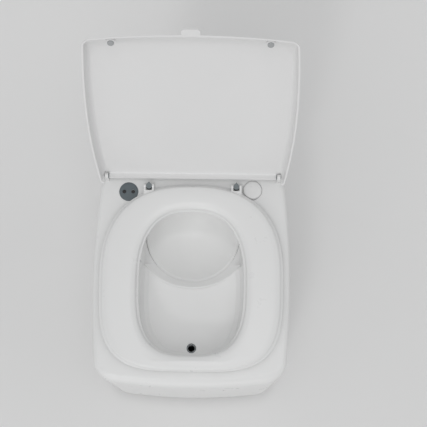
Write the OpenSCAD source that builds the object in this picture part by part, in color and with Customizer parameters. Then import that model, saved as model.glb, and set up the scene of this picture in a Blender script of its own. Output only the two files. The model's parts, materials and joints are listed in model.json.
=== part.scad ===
// Urine-separating dry flush toilet with a lid, a seat, a powered turning bowl
// and two containers. The lid is modelled open and the seat down.
// Origin: on the floor under the middle of the body. +X is the side of the push
// button, -Y is the front, +Z is up. Millimetres.

/* [Body] */
// Widest width of the body
body_w = 406; // [380:1:430]
// Distance from the origin to the body's front
body_front = 249; // [246:1:262]
// Distance from the origin to the body's rear
body_rear = 260; // [256:1:290]
// Height of the deck above the floor
deck_z = 430; // [410:1:460]
// How much narrower the body is one bow span ahead of its waist
front_bow = 7.5; // [2:0.5:12]
// How much narrower the body is one bow span behind its waist
rear_bow = 10.5; // [2:0.5:12]
// Distance over which the bow is measured
bow_span = 190; // [170:1:240]
// Place of the widest point, from the middle
waist_y = -26; // [-60:1:20]
// How far the middle of the front stands ahead of its corners
front_crown = 16; // [6:1:24]
// Radius of the front corners
front_corner_r = 42; // [30:1:60]
// Radius of the rear corners
rear_corner_r = 28; // [20:1:40]
// How far the casing draws in at the floor
casing_taper = 6; // [2:0.5:10]
// Thickness of the plastic shells
wall_t = 4; // [3:0.5:5]
// Height of the seam between casing and deck below the deck
deck_skirt = 40; // [34:1:60]
// Rounding of the deck's front edge
deck_front_r = 21; // [12:1:26]
// Rounding of the deck's side edges
deck_side_r = 9; // [6:0.5:14]
// Rounding of the deck's rear edge
deck_rear_r = 12; // [8:0.5:16]
// Height of the lip that locates the deck on the casing
lip_h = 12; // [8:1:16]
// Thickness of that lip
lip_t = 3; // [2:0.5:4]

/* [Base] */
// Height of the rubber feet
foot_h = 10; // [6:1:16]
// Radius of the rubber feet
foot_r = 17; // [12:1:24]
// Distance of the feet from the body's widest sides
foot_inset = 63; // [48:1:90]
// Distance of the front feet from the middle
foot_front_y = 196; // [160:1:205]
// Distance of the rear feet from the middle
foot_rear_y = 212; // [170:1:225]
// Thickness of the base tray floor
base_t = 4; // [3:0.5:6]
// Height of the base tray's upstand
base_lip_h = 30; // [20:1:40]

/* [Seat] */
// Distance of the seat's sides from the body's widest sides
seat_inset = 19; // [15:1:27]
// Place of the seat's rear edge
seat_rear_y = 166; // [160:1:168]
// Place of the seat's front edge
seat_front_y = -215; // [-222:1:-208]
// Half width of the seat's opening
hole_half_w = 112; // [104:1:116]
// Rear edge of the seat's opening
hole_rear_y = 116; // [108:1:119]
// Front edge of the seat's opening
hole_front_y = -184; // [-187:1:-178]
// Thickness of the seat
seat_t = 16; // [13:0.5:18]
// Height of the rubber buffers under the seat
buffer_h = 4; // [3:0.5:5]
// Height of the seat hinge axis above the deck
seat_axis_h = 9; // [8:0.5:10]
// Distance of each seat post from the middle
post_x = 91; // [80:0.5:94]
// Radius of a seat post
post_r = 6; // [5:0.25:6.5]
// Radius of the seat hinge pins
seat_pin_r = 2.5; // [2:0.1:3]
// Thickness of a seat ear
ear_t = 4; // [3:0.5:5]

/* [Lid] */
// Place of the lid's hinge axis
lid_axis_y = 185; // [183:1:188]
// Height of the lid's hinge axis above the deck
lid_axis_h = 20; // [18:0.5:23]
// Distance from the lid's hinge axis to its front edge
lid_reach = 431; // [420:1:434]
// Height of the lid's shell without its crown
lid_h = 27; // [26:0.5:32]
// Rise of the lid's middle above its edges
lid_crown = 4; // [0:0.5:8]
// Gap between the closed lid's rim and the deck
lid_gap = 3; // [2.5:0.25:4]
// Thickness of the lid's skin
lid_t = 3.5; // [2.5:0.25:4]
// Width of the lid's rounded sides
lid_side_w = 12; // [8:1:13]
// Width of the lid's sloping front
lid_front_w = 46; // [36:1:52]
// Radius of the lid's front corners
lid_corner_r = 16; // [10:1:24]
// Rise of the lid's front rim at its middle
lid_arch = 7; // [3:0.5:9]
// How far the lid leans back past upright when it is open, in degrees
lid_lean = 23.5; // [16:0.5:27]
// Width of the finger tab
tab_w = 34; // [28:1:48]
// Length of the finger tab
tab_l = 6; // [6:1:18]
// Thickness of the finger tab
tab_t = 3.5; // [2.5:0.25:4]
// Distance of each lid bumper from the middle
bumper_x = 142; // [130:1:150]
// Distance of the lid bumpers from the lid's front edge
bumper_inset = 22; // [19:0.5:32]
// Radius of the lid bumpers
bumper_r = 6; // [5:0.25:7]
// Radius of the lid hinge pins
lid_pin_r = 3; // [2.5:0.1:3.5]
// Distance of the lid hinge brackets from the body's widest sides
bracket_inset = 21; // [21:0.5:25]
// Width of a lid hinge bracket
bracket_w = 7; // [6:1:12]

/* [Bowl insert] */
// How far the deck's opening is larger than the seat's
rim_margin = 6; // [4:0.5:9]
// Thickness of the insert's walls
insert_t = 3; // [2.5:0.25:3.5]
// Width of the insert's flange under the deck
flange_w = 14; // [10:1:18]
// Radius of the round chute round the turning bowl
chute_r = 106; // [106:0.5:107]
// Height of the top of the round chute
chute_top_z = 350; // [346:1:354]
// Height of the bottom of the round chute
chute_bottom_z = 272; // [268:1:276]
// Radius of the lip that closes in on the turning bowl's rim
lip_r = 102.6; // [102.4:0.1:104]
// Radius of the divider between the trays, seen from above
divider_r = 134; // [126:1:144]
// Place of the divider's front, at the middle
divider_y = -27.5; // [-29:0.5:-26]
// Height of the divider's edge
divider_z = 322; // [318:1:326]
// Thickness of the divider's edge
divider_t = 4; // [3:0.5:5]
// Height of the urine tray beside the divider
tray_z = 317; // [314:1:318]
// Slope of the urine tray towards the drain, in degrees
tray_slope = 7.5; // [5:0.5:8]
// Place of the drain
drain_y = -157; // [-159:1:-150]
// Radius of the drain ring's flange
drain_r = 10; // [9:0.25:11]
// Radius of the drain's bore
drain_bore_r = 7.7; // [6.5:0.1:7.8]

/* [Turning bowl] */
// Place of the bowl's axis
bowl_y = 88; // [87:0.5:89]
// Height of the bowl's axis
bowl_axis_z = 295; // [293:0.5:296]
// Height of the bowl's rim above its axis
bowl_rim_h = 10; // [9.5:0.5:12]
// Inside radius of the bowl at its rim
bowl_r = 97; // [94:0.5:98]
// Inside depth of the bowl
bowl_depth = 44; // [40:1:56]
// Thickness of the bowl
bowl_t = 4; // [3:0.25:4]
// Radius of the bowl's shafts
shaft_r = 5; // [4:0.25:6]
// Radius of the hubs that carry the shafts
hub_r = 9; // [8:0.25:9.5]
// Half of the distance between the hubs' ends
hub_x = 105; // [104.5:0.1:105.2]
// Outside radius of the shaft bushes
bush_r = 8; // [7.5:0.25:9]
// Length of the bush bosses on the insert
boss_l = 12; // [8:1:14]

/* [Drive] */
// Gear module
gear_module = 1.5; // [1.25:0.25:1.75]
// Teeth on the bowl gear
bowl_teeth = 60; // [52:2:64]
// Teeth on the motor pinion
pinion_teeth = 15; // [14:1:18]
// Width of the gears' faces
gear_w = 8; // [6:0.5:9]
// Play between the teeth, as a width at the pitch line
backlash = 0.3; // [0.2:0.05:0.5]
// Direction from the bowl's axis to the motor's, in degrees
motor_angle = -55; // [-65:1:-45]
// Radius of the gear motor's gearbox
gearbox_r = 18.5; // [16:0.5:20]
// Length of the gearbox
gearbox_l = 20; // [18:1:24]
// Radius of the motor can
motor_r = 16; // [13:0.5:16]
// Length of the motor can
motor_l = 17; // [14:1:20]
// Radius of the motor's output shaft
motor_shaft_r = 3; // [2.5:0.25:3.5]

/* [Button and sensor] */
// Distance of the button's middle from the body's widest side
button_inset = 78; // [76:0.5:82]
// Button's place from the middle, front to rear
button_y = 162; // [161:0.5:164]
// Radius of the push button
button_r = 19.2; // [17:0.1:19.5]
// Gap all round the push button
button_gap = 1; // [0.8:0.1:1.8]
// How far the finger dip beside the button is set off from it, sideways and forward
dip_shift = 1.5; // [0.5:0.25:3]
// Depth of that finger dip
dip_depth = 2.5; // [1:0.25:3]
// Height of the button's face above the deck
button_rise = 3.5; // [3:0.25:5]
// Depth of the flange that closes the gap round the push button
flange_depth = 0.5; // [0.5:0.25:4]
// Travel of the push button
button_travel = 3; // [2:0.25:3]
// Distance of the sensor's middle from the body's widest side
sensor_inset = 69.6; // [67:0.2:73]
// Sensor's place from the middle, front to rear
sensor_y = 156; // [153:0.5:158]
// Radius of the sensor's face
sensor_r = 19.8; // [18:0.1:20.5]
// Radius of each of its two windows
window_r = 4.1; // [3.5:0.1:4.5]
// Distance between its two windows
window_pitch = 18.4; // [17:0.2:20]

/* [Containers] */
// Inside radius of the solids bucket at its rim
bucket_r = 114; // [108:1:116]
// Inside radius of the solids bucket at its floor
bucket_floor_r = 98; // [90:1:102]
// Height of the solids bucket
bucket_h = 170; // [150:1:172]
// Thickness of the containers' walls
container_t = 3; // [2:0.25:3.5]
// Distance of the urine tank's sides from the body's widest sides
tank_inset = 45; // [43:1:63]
// Front of the urine tank
tank_front_y = -228; // [-230:1:-220]
// Rear of the urine tank
tank_rear_y = -44; // [-60:1:-42]
// Height of the urine tank
tank_h = 240; // [200:1:246]
// Radius of the urine tank's neck
neck_r = 17; // [15:0.5:20]

/* [Ventilation] */
// Outside radius of the vent spigot
vent_r = 37.5; // [35:0.5:40]
// Length of the vent spigot
vent_l = 40; // [30:1:60]
// Gap between the fan frame and the top of the service opening
fan_gap = 3; // [1:0.5:8]
// Side of the square fan frame
fan_side = 80; // [76:1:84]
// Thickness of the fan frame
fan_t = 25; // [20:1:26]
// Radius of the fan's hub
fan_hub_r = 16; // [14:0.5:18]
// Number of fan blades
fan_blades = 7; // [5:1:9]

/* [Rear panel] */
// Width of the rear service panel
panel_w = 250; // [230:1:270]
// Distance of the panel's upper edge below the deck's seam
panel_drop = 20; // [12:1:30]
// Height of the panel's lower edge
panel_z = 70; // [60:1:76]
// Thickness of the rear service panel
panel_t = 3; // [2.5:0.5:4]
// Overlap of the panel on the casing
panel_lap = 13; // [11:1:16]

/* [Hidden] */

// Colours
white = "#f2f3f2";
inner_white = "#e9ebea";
grey = "#62696d";
dark = "#2b2e30";
steel = "#b9bdc0";
tank_grey = "#c9cccb";

// Small fits and gaps
eps = 0.01;
run = 0.05;
slip = 0.4;
seat_gap = 0.3;
round_fn = 96;

// Levels
deck_under_z = deck_z - wall_t;
seam_z = deck_z - deck_skirt;
base_z = foot_h;
base_top_z = base_z + base_t;
front_y = -body_front;
rear_y = body_rear;

// Places that follow the body's width and the seam
side_x = body_w / 2;
foot_x = side_x - foot_inset;
seat_half_w = side_x - seat_inset;
tank_half_w = side_x - tank_inset;
bracket_x = side_x - bracket_inset;
button_x = side_x - button_inset;
sensor_x = sensor_inset - side_x;
panel_h = seam_z - panel_drop - panel_z;
vent_z = seam_z - panel_drop - panel_lap - fan_gap - fan_side / 2;

// Points on each part of an outline
corner_n = 6;
side_n = 8;
rear_n = 4;
front_n = 10;

function lerp(a, b, t) = a + (b - a) * t;
function clamp(v, low, high) = min(max(v, low), high);

// Half width of the body at a distance from its middle
function half_w(y) = body_w / 2 - (y < waist_y ? front_bow : rear_bow) * pow((y - waist_y) / bow_span, 2);

// Bends a rounded rectangle's point to the body's bowed sides and crowned front
function bend(p) =
    let (
        share = clamp((waist_y - p[1]) / (waist_y - front_y), 0, 1),
        lift = front_crown * pow(p[0] / (body_w / 2), 2) * share
    )
    [p[0] * half_w(p[1]) / (body_w / 2), p[1] + lift];

// A rounded rectangle's points, anticlockwise from its right side
function outline(w, yf, yr, rf, rr) = concat(
    [for (i = [1:side_n - 1]) [w, lerp(yf + rf[1], yr - rr[1], i / side_n)]],
    [for (i = [0:corner_n]) let (a = 90 * i / corner_n)
        [w - rr[0] + rr[0] * cos(a), yr - rr[1] + rr[1] * sin(a)]],
    [for (i = [1:rear_n - 1]) [lerp(w - rr[0], rr[0] - w, i / rear_n), yr]],
    [for (i = [0:corner_n]) let (a = 90 + 90 * i / corner_n)
        [rr[0] - w + rr[0] * cos(a), yr - rr[1] + rr[1] * sin(a)]],
    [for (i = [1:side_n - 1]) [-w, lerp(yr - rr[1], yf + rf[1], i / side_n)]],
    [for (i = [0:corner_n]) let (a = 180 + 90 * i / corner_n)
        [rf[0] - w + rf[0] * cos(a), yf + rf[1] + rf[1] * sin(a)]],
    [for (i = [1:front_n - 1]) [lerp(rf[0] - w, w - rf[0], i / front_n), yf]],
    [for (i = [0:corner_n]) let (a = 270 + 90 * i / corner_n)
        [w - rf[0] + rf[0] * cos(a), yf + rf[1] + rf[1] * sin(a)]]
);

// How far each point of an outline belongs to the front, and to the rear
front_share = concat(
    [for (i = [1:side_n - 1]) 0],
    [for (i = [0:corner_n]) 0],
    [for (i = [1:rear_n - 1]) 0],
    [for (i = [0:corner_n]) 0],
    [for (i = [1:side_n - 1]) 0],
    [for (i = [0:corner_n]) pow(sin(90 * i / corner_n), 2)],
    [for (i = [1:front_n - 1]) 1],
    [for (i = [0:corner_n]) pow(cos(90 * i / corner_n), 2)]
);
rear_share = concat(
    [for (i = [1:side_n - 1]) 0],
    [for (i = [0:corner_n]) pow(sin(90 * i / corner_n), 2)],
    [for (i = [1:rear_n - 1]) 1],
    [for (i = [0:corner_n]) pow(cos(90 * i / corner_n), 2)],
    [for (i = [1:side_n - 1]) 0],
    [for (i = [0:corner_n]) 0],
    [for (i = [1:front_n - 1]) 0],
    [for (i = [0:corner_n]) 0]
);
outline_n = len(front_share);

function mix3(side, front, rear, i) =
    side + (front - side) * front_share[i] + (rear - side) * rear_share[i];

// One level of a body-shaped loft: insets at side, front and rear, and the height of each
function body_ring(inset, z) =
    let (
        w = body_w / 2 - inset[0],
        rf = [max(front_corner_r - inset[0], 1), max(front_corner_r - inset[1], 1)],
        rr = [max(rear_corner_r - inset[0], 1), max(rear_corner_r - inset[2], 1)],
        flat = outline(w, front_y + inset[1], rear_y - inset[2], rf, rr)
    )
    [for (i = [0:outline_n - 1]) let (p = bend(flat[i])) [p[0], p[1], mix3(z[0], z[1], z[2], i)]];

// Joins rings of equal length into a closed solid
module loft(rings) {
    n = len(rings[0]);
    top = len(rings) - 1;
    sides = [for (r = [0:top - 1]) for (i = [0:n - 1]) for (k = [0:1])
        let (j = (i + 1) % n)
        k == 0 ? [r * n + i, (r + 1) * n + i, (r + 1) * n + j] : [r * n + i, (r + 1) * n + j, r * n + j]];
    polyhedron(
        points = [for (ring = rings) for (p = ring) p],
        faces = concat(sides, [[for (i = [0:n - 1]) i]], [[for (i = [n - 1:-1:0]) top * n + i]])
    );
}

// A cylinder along X, from one x to another
module rod_x(r, x0, x1, y, z) {
    translate([min(x0, x1), y, z])
        rotate([0, 90, 0])
            cylinder(r = r, h = abs(x1 - x0), $fn = round_fn);
}

// A cylinder along Y, from one y to another
module rod_y(r, y0, y1, x, z) {
    translate([x, max(y0, y1), z])
        rotate([90, 0, 0])
            cylinder(r = r, h = abs(y1 - y0), $fn = round_fn);
}

// A block between two corners
module block(a, b) {
    translate(a)
        cube(b - a);
}

// A flat rounded rectangle centred on a point
module rounded_rect(w, h, r) {
    hull_w = w / 2 - r;
    hull_h = h / 2 - r;
    union() {
        square([w, h - 2 * r], center = true);
        square([w - 2 * r, h], center = true);
        for (sx = [-1, 1]) {
            for (sy = [-1, 1]) {
                translate([sx * hull_w, sy * hull_h])
                    circle(r = r, $fn = round_fn);
            }
        }
    }
}

// Casing and deck

// Insets of the casing's outside at a height
function casing_inset(z) =
    let (t = casing_taper * (seam_z - z) / (seam_z - base_z))
    [t, 0, 0];

function grown(inset, d) = [inset[0] + d, inset[1] + d, inset[2] + d];

// Half width of the casing's inside at a place
function casing_inner_x(y, z) = half_w(y) - casing_inset(z)[0] - wall_t;

panel_mid_z = panel_z + panel_h / 2;
screw_r = 2;
screw_head_r = 4;
screw_head_h = 2.4;
panel_screw_x = panel_w / 2 - panel_lap / 2;
panel_screws = [for (sx = [-1, 1]) for (k = [0:2])
    [sx * panel_screw_x, panel_z + lerp(16, panel_h - 16, k / 2)]];
deck_screw_x = [for (share = [-1, -0.4, 0.4, 1]) share * (side_x - 53)];
deck_screw_z = seam_z + lip_h / 2;

// Pads inside the casing that the motor bracket and the control box rest on
pad_h = 44;
pad_w = 40;
box_pad_x = 20 - side_x;

module outer_casing() {
    edge_r = 5;
    outer = [
        body_ring(grown(casing_inset(base_z), edge_r), [for (k = [0:2]) base_z]),
        body_ring(casing_inset(base_z + edge_r), [for (k = [0:2]) base_z + edge_r]),
        body_ring([0, 0, 0], [seam_z, seam_z, seam_z]),
    ];
    inner = [
        body_ring(grown(casing_inset(base_z), wall_t + edge_r), [for (k = [0:2]) base_z - 1]),
        body_ring(grown(casing_inset(base_z + edge_r), wall_t), [for (k = [0:2]) base_z + edge_r]),
        body_ring(grown(casing_inset(seam_z), wall_t), [for (k = [0:2]) seam_z + 1]),
    ];
    lip_outer = wall_t + slip;
    ledge_z = seam_z - lip_h;
    color(white)
        difference() {
            union() {
                difference() {
                    loft(outer);
                    loft(inner);
                }
                // Lip that the deck's skirt slips over, on a ledge inside the wall
                difference() {
                    union() {
                        loft([
                            body_ring(grown([0, 0, 0], wall_t - 1), [for (k = [0:2]) ledge_z]),
                            body_ring(grown([0, 0, 0], wall_t - 1), [for (k = [0:2]) seam_z - slip]),
                        ]);
                        loft([
                            body_ring(grown([0, 0, 0], lip_outer), [for (k = [0:2]) seam_z - 1]),
                            body_ring(grown([0, 0, 0], lip_outer), [for (k = [0:2]) seam_z + lip_h]),
                        ]);
                    }
                    loft([
                        body_ring(grown([0, 0, 0], lip_outer + lip_t), [for (k = [0:2]) ledge_z - 1]),
                        body_ring(grown([0, 0, 0], lip_outer + lip_t), [for (k = [0:2]) seam_z + lip_h + 1]),
                    ]);
                }
                // Pads for the motor bracket and the control box
                block(
                    [motor_pad_x, motor_y - pad_w / 2, motor_z - pad_h / 2],
                    [casing_inner_x(motor_y, motor_z) + 1, motor_y + pad_w / 2, motor_z + pad_h / 2]
                );
                block(
                    [-casing_inner_x(box_y, box_z) - 1, box_y - pad_w / 2, box_z - pad_h / 2],
                    [box_pad_x, box_y + pad_w / 2, box_z + pad_h / 2]
                );
            }
            // Service opening in the rear wall
            block(
                [-panel_w / 2 + panel_lap, rear_y - wall_t - lip_t - 5, panel_z + panel_lap],
                [panel_w / 2 - panel_lap, rear_y + 1, panel_z + panel_h - panel_lap]
            );
            for (s = panel_screws) {
                rod_y(screw_r + run, rear_y - wall_t - 1, rear_y + 1, s[0], s[1]);
            }
            for (x = deck_screw_x) {
                rod_y(screw_r + run, rear_y - wall_t - slip - lip_t - 1, rear_y + 1, x, deck_screw_z);
            }
        }
}

round_steps = [0, 0.12, 0.28, 0.5, 0.75, 1];

// Levels of a rounded edge: t is 0 at the outside and 1 on the flat
function edge_ring(t, grow, drop) =
    let (
        rise = 1 - sqrt(1 - pow(1 - t, 2)),
        inset = [deck_side_r * t, deck_front_r * t, deck_rear_r * t]
    )
    body_ring(grown(inset, grow), [
        deck_z - drop - deck_side_r * rise,
        deck_z - drop - deck_front_r * rise,
        deck_z - drop - deck_rear_r * rise,
    ]);

module deck_solid(grow, bottom_z) {
    loft(concat(
        [body_ring(grown([0, 0, 0], grow), [for (k = [0:2]) bottom_z])],
        [for (t = round_steps) edge_ring(t, grow, grow)]
    ));
}

// Egg-shaped outlines of the seat and its opening
function egg_point(a, yc, b_front, b_rear, n_front, n_rear, angle) =
    let (
        b = sin(angle) < 0 ? b_front : b_rear,
        n = sin(angle) < 0 ? n_front : n_rear,
        r = pow(pow(abs(cos(angle)) / a, n) + pow(abs(sin(angle)) / b, n), -1 / n)
    )
    [r * cos(angle), yc + r * sin(angle)];

egg_n = 72;
seat_mid_y = (seat_front_y + seat_rear_y) / 2;
hole_mid_y = (hole_front_y + hole_rear_y) / 2;
seat_front_n = 3.6;
seat_rear_n = 2.5;
hole_front_n = 3;
hole_rear_n = 2.5;

function seat_outer(angle) =
    egg_point(seat_half_w, seat_mid_y, seat_mid_y - seat_front_y, seat_rear_y - seat_mid_y,
        seat_front_n, seat_rear_n, angle);

function hole_point(grow, angle) =
    egg_point(hole_half_w + grow, hole_mid_y, hole_mid_y - hole_front_y + grow,
        hole_rear_y - hole_mid_y + grow, hole_front_n, hole_rear_n, angle);

// The opening's outline, grown by a distance
module hole_shape(grow) {
    polygon([for (i = [0:egg_n - 1]) hole_point(grow, 360 * i / egg_n)]);
}

dimple_depth = 0.6;
bumper_y = lid_axis_y - lid_reach + bumper_inset;
button_hole_r = button_r + button_gap;
sensor_body_r = sensor_r - 3;
sensor_face_t = 1.2;

module top_deck() {
    color(white)
        difference() {
            deck_solid(0, seam_z);
            deck_solid(wall_t, seam_z - 1);
            translate([0, 0, deck_under_z - 1])
                linear_extrude(wall_t + 2)
                    hole_shape(rim_margin);
            translate([button_x, button_y, deck_under_z - 1])
                cylinder(r = button_hole_r, h = wall_t + 2, $fn = round_fn);
            translate([button_x - dip_shift, button_y - dip_shift, deck_z - dip_depth])
                cylinder(r = button_hole_r, h = dip_depth + 1, $fn = round_fn);
            translate([sensor_x, sensor_y, deck_under_z - 1])
                cylinder(r = sensor_body_r + slip, h = wall_t + 2, $fn = round_fn);
            translate([sensor_x, sensor_y, deck_z - sensor_face_t])
                cylinder(r = sensor_r + slip, h = sensor_face_t + 1, $fn = round_fn);
            // Marks that the lid's bumpers land on
            for (sx = [-1, 1]) {
                translate([sx * bumper_x, bumper_y, deck_z - dimple_depth])
                    cylinder(r = bumper_r + 0.5, h = 1, $fn = round_fn);
            }
            for (x = deck_screw_x) {
                rod_y(screw_r + run, rear_y - wall_t - 1, rear_y + 1, x, deck_screw_z);
            }
        }
}

// A pan-head screw whose head rests on a face that looks rearwards
module rear_screw(x, y, z, length) {
    difference() {
        union() {
            rod_y(screw_r, y - length, y, x, z);
            rod_y(screw_head_r, y, y + screw_head_h, x, z);
        }
        block([x - 0.5, y + screw_head_h - 1, z - 2.6], [x + 0.5, y + screw_head_h + 1, z + 2.6]);
        block([x - 2.6, y + screw_head_h - 1, z - 0.5], [x + 2.6, y + screw_head_h + 1, z + 0.5]);
    }
}

module deck_screws() {
    color(steel)
        for (x = deck_screw_x) {
            rear_screw(x, rear_y, deck_screw_z, wall_t + slip + lip_t + 4);
        }
}

vent_flange_r = vent_r + 9;
vent_t = 2;
inlet_x = 70;
inlet_z = panel_z + 42;
inlet_r = 6;

module rear_panel() {
    color(white)
        difference() {
            translate([0, rear_y + panel_t, panel_mid_z])
                rotate([90, 0, 0])
                    linear_extrude(panel_t)
                        rounded_rect(panel_w, panel_h, 14);
            rod_y(vent_r - vent_t, rear_y - 1, rear_y + panel_t + 1, 0, vent_z);
            rod_y(inlet_r + slip, rear_y - 1, rear_y + panel_t + 1, inlet_x, inlet_z);
            for (s = panel_screws) {
                rod_y(screw_r + run, rear_y - 1, rear_y + panel_t + 1, s[0], s[1]);
            }
            for (s = fan_holes) {
                rod_y(screw_r + run, rear_y - 1, rear_y + panel_t + 1, s[0], s[1]);
            }
        }
}

module rear_panel_screws() {
    color(steel)
        for (s = panel_screws) {
            rear_screw(s[0], rear_y + panel_t, s[1], panel_t + wall_t + 4);
        }
}

// Base

module base_tray() {
    tray_gap = wall_t + slip;
    low = base_z + base_lip_h;
    edge_r = 5;
    color(inner_white)
        difference() {
            loft([
                body_ring(grown(casing_inset(base_z), tray_gap + edge_r), [for (k = [0:2]) base_z]),
                body_ring(grown(casing_inset(base_z + edge_r), tray_gap), [for (k = [0:2]) base_z + edge_r]),
                body_ring(grown(casing_inset(low), tray_gap), [for (k = [0:2]) low]),
            ]);
            loft([
                body_ring(
                    grown(casing_inset(base_top_z), tray_gap + 3 + edge_r),
                    [for (k = [0:2]) base_top_z]
                ),
                body_ring(grown(casing_inset(low), tray_gap + 3), [for (k = [0:2]) base_top_z + edge_r]),
                body_ring(grown(casing_inset(low), tray_gap + 3), [for (k = [0:2]) low + 1]),
            ]);
            for (p = foot_places) {
                translate([p[0], p[1], base_z - 1])
                    cylinder(r = foot_stem_r + run, h = base_t + 2, $fn = round_fn);
            }
        }
}

// The middle foot carries the containers
foot_places = [
    [-foot_x, -foot_front_y], [foot_x, -foot_front_y],
    [-foot_x, foot_rear_y], [foot_x, foot_rear_y], [0, 0],
];
foot_stem_r = 4;

module floor_feet() {
    color(dark)
        for (p = foot_places) {
            translate([p[0], p[1], 0])
                rotate_extrude($fn = round_fn)
                    polygon([
                        [0, 0], [foot_r - 2, 0], [foot_r, 2], [foot_r, foot_h],
                        [foot_stem_r, foot_h], [foot_stem_r, foot_h + base_t], [0, foot_h + base_t],
                    ]);
        }
}

// Bowl insert

divider_mid_y = divider_y + divider_r;
insert_top_z = deck_under_z;

module rear_half_plane(y) {
    translate([-body_w, y])
        square([2 * body_w, 2 * body_rear]);
}

module front_half_plane(y) {
    translate([-body_w, y - 2 * body_front])
        square([2 * body_w, 2 * body_front]);
}

// Space above the turning bowl, from the deck's opening down to the round chute
split_y = bowl_y - chute_r;
tray_end_y = divider_y + 50;
lip_z = bowl_axis_z + 17;
lip_low_z = lip_z - 5;

module rear_space(grow, bottom_z) {
    hull() {
        translate([0, bowl_y, lip_z - grow])
            cylinder(r1 = lip_r + grow, r2 = chute_r + grow, h = chute_top_z - lip_z + grow, $fn = 64);
        translate([0, 0, divider_z - 1 - grow])
            linear_extrude(1)
                intersection() {
                    translate([0, divider_mid_y])
                        circle(r = divider_r + grow, $fn = 128);
                    hole_shape(rim_margin - 10 + grow);
                }
        translate([0, 0, insert_top_z])
            linear_extrude(eps)
                intersection() {
                    hole_shape(rim_margin + grow);
                    rear_half_plane(split_y);
                }
    }
    // The wall carries the lip, and the hollow stops under it
    wall_top_z = grow > 0 ? lip_z : lip_low_z;
    translate([0, bowl_y, bottom_z])
        cylinder(r = chute_r + grow, h = wall_top_z - bottom_z, $fn = round_fn);
    translate([0, bowl_y, lip_low_z - 1])
        cylinder(r = lip_r + grow, h = lip_z - lip_low_z + 1 + eps, $fn = round_fn);
}

// Space above the urine tray
module front_space(grow) {
    hull() {
        translate([0, 0, insert_top_z])
            linear_extrude(eps)
                intersection() {
                    hole_shape(rim_margin + grow);
                    front_half_plane(tray_end_y);
                }
        translate([0, divider_y, tray_z + 34])
            rotate([tray_slope, 0, 0])
                translate([0, -divider_y, 0])
                    linear_extrude(eps)
                        intersection() {
                            hole_shape(rim_margin - 2 + grow);
                            front_half_plane(tray_end_y);
                        }
        translate([0, divider_y, tray_z + 12])
            rotate([tray_slope, 0, 0])
                translate([0, -divider_y, -grow])
                    linear_extrude(eps)
                        intersection() {
                            hole_shape(rim_margin - 9 + grow);
                            front_half_plane(tray_end_y);
                        }
        translate([0, divider_y, tray_z])
            rotate([tray_slope, 0, 0])
                translate([0, -divider_y, -grow])
                    linear_extrude(eps)
                        intersection() {
                            hole_shape(rim_margin - 24 + grow);
                            front_half_plane(tray_end_y);
                        }
    }
}

drain_z = tray_z - (divider_y - drain_y) * tan(tray_slope);
drain_seat_z = drain_z - 1.2;
drain_tube_r = drain_bore_r + 1;
drain_bottom_z = drain_z - 24;
hub_boss_r = bush_r + 5;

module bowl_insert() {
    boss_x = chute_r + boss_l;
    color(inner_white)
        difference() {
            union() {
                rear_space(insert_t, chute_bottom_z);
                front_space(insert_t);
                translate([0, 0, insert_top_z - insert_t])
                    linear_extrude(insert_t)
                        hole_shape(rim_margin + flange_w);
                translate([0, drain_y, drain_z - 9])
                    cylinder(r = drain_r + 5, h = 9, $fn = round_fn);
                for (sx = [-1, 1]) {
                    rod_x(hub_boss_r, sx * chute_r, sx * boss_x, bowl_y, bowl_axis_z);
                }
            }
            rear_space(0, chute_bottom_z - 1);
            difference() {
                front_space(0);
                // The divider's edge stands above the tray
                translate([0, divider_mid_y, 0])
                    cylinder(r = divider_r + divider_t, h = divider_z, $fn = 192);
            }
            translate([0, drain_y, drain_seat_z])
                cylinder(r = drain_r + slip, h = 20, $fn = round_fn);
            translate([0, drain_y, drain_z - 30])
                cylinder(r = drain_tube_r + run, h = 40, $fn = round_fn);
            for (sx = [-1, 1]) {
                rod_x(bush_r + run, sx * (chute_r - 4), sx * (boss_x + 1), bowl_y, bowl_axis_z);
            }
            // Cuts what the insert's hulls leave above the deck's underside
            block([-body_w, -body_front, insert_top_z], [body_w, body_rear, insert_top_z + 5]);
        }
}

module drain_ring() {
    flange_t = 1.2;
    color(grey)
        translate([0, drain_y, 0])
            difference() {
                union() {
                    translate([0, 0, drain_bottom_z])
                        cylinder(r = drain_tube_r, h = drain_seat_z - drain_bottom_z + eps, $fn = round_fn);
                    translate([0, 0, drain_seat_z])
                        cylinder(r = drain_r, h = flange_t, $fn = round_fn);
                }
                translate([0, 0, drain_bottom_z - 1])
                    cylinder(
                        r = drain_bore_r,
                        h = drain_seat_z + flange_t - drain_bottom_z + 2,
                        $fn = round_fn
                    );
            }
}

tank_top_z = base_top_z + seat_gap + tank_h;
neck_h = 5;
trap_r = drain_tube_r + 2.5;

// Rubber sleeve that hangs from the drain into the tank's neck and narrows to keep smells in
module odour_trap() {
    top = drain_z - 10;
    end = tank_top_z - 22;
    mid = drain_bottom_z - 1;
    color(dark)
        translate([0, drain_y, 0])
            rotate_extrude($fn = round_fn)
                polygon([
                    [drain_tube_r + run, top], [trap_r, top], [trap_r, mid - 4], [8, end], [4, end],
                    [drain_bore_r - 1, mid - 4], [drain_bore_r - 1, mid], [drain_tube_r + run, mid],
                ]);
}

module tank_shape(grow, r) {
    translate([0, (tank_front_y + tank_rear_y) / 2])
        rounded_rect(2 * (tank_half_w + grow), tank_rear_y - tank_front_y + 2 * grow, r + grow);
}

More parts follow.
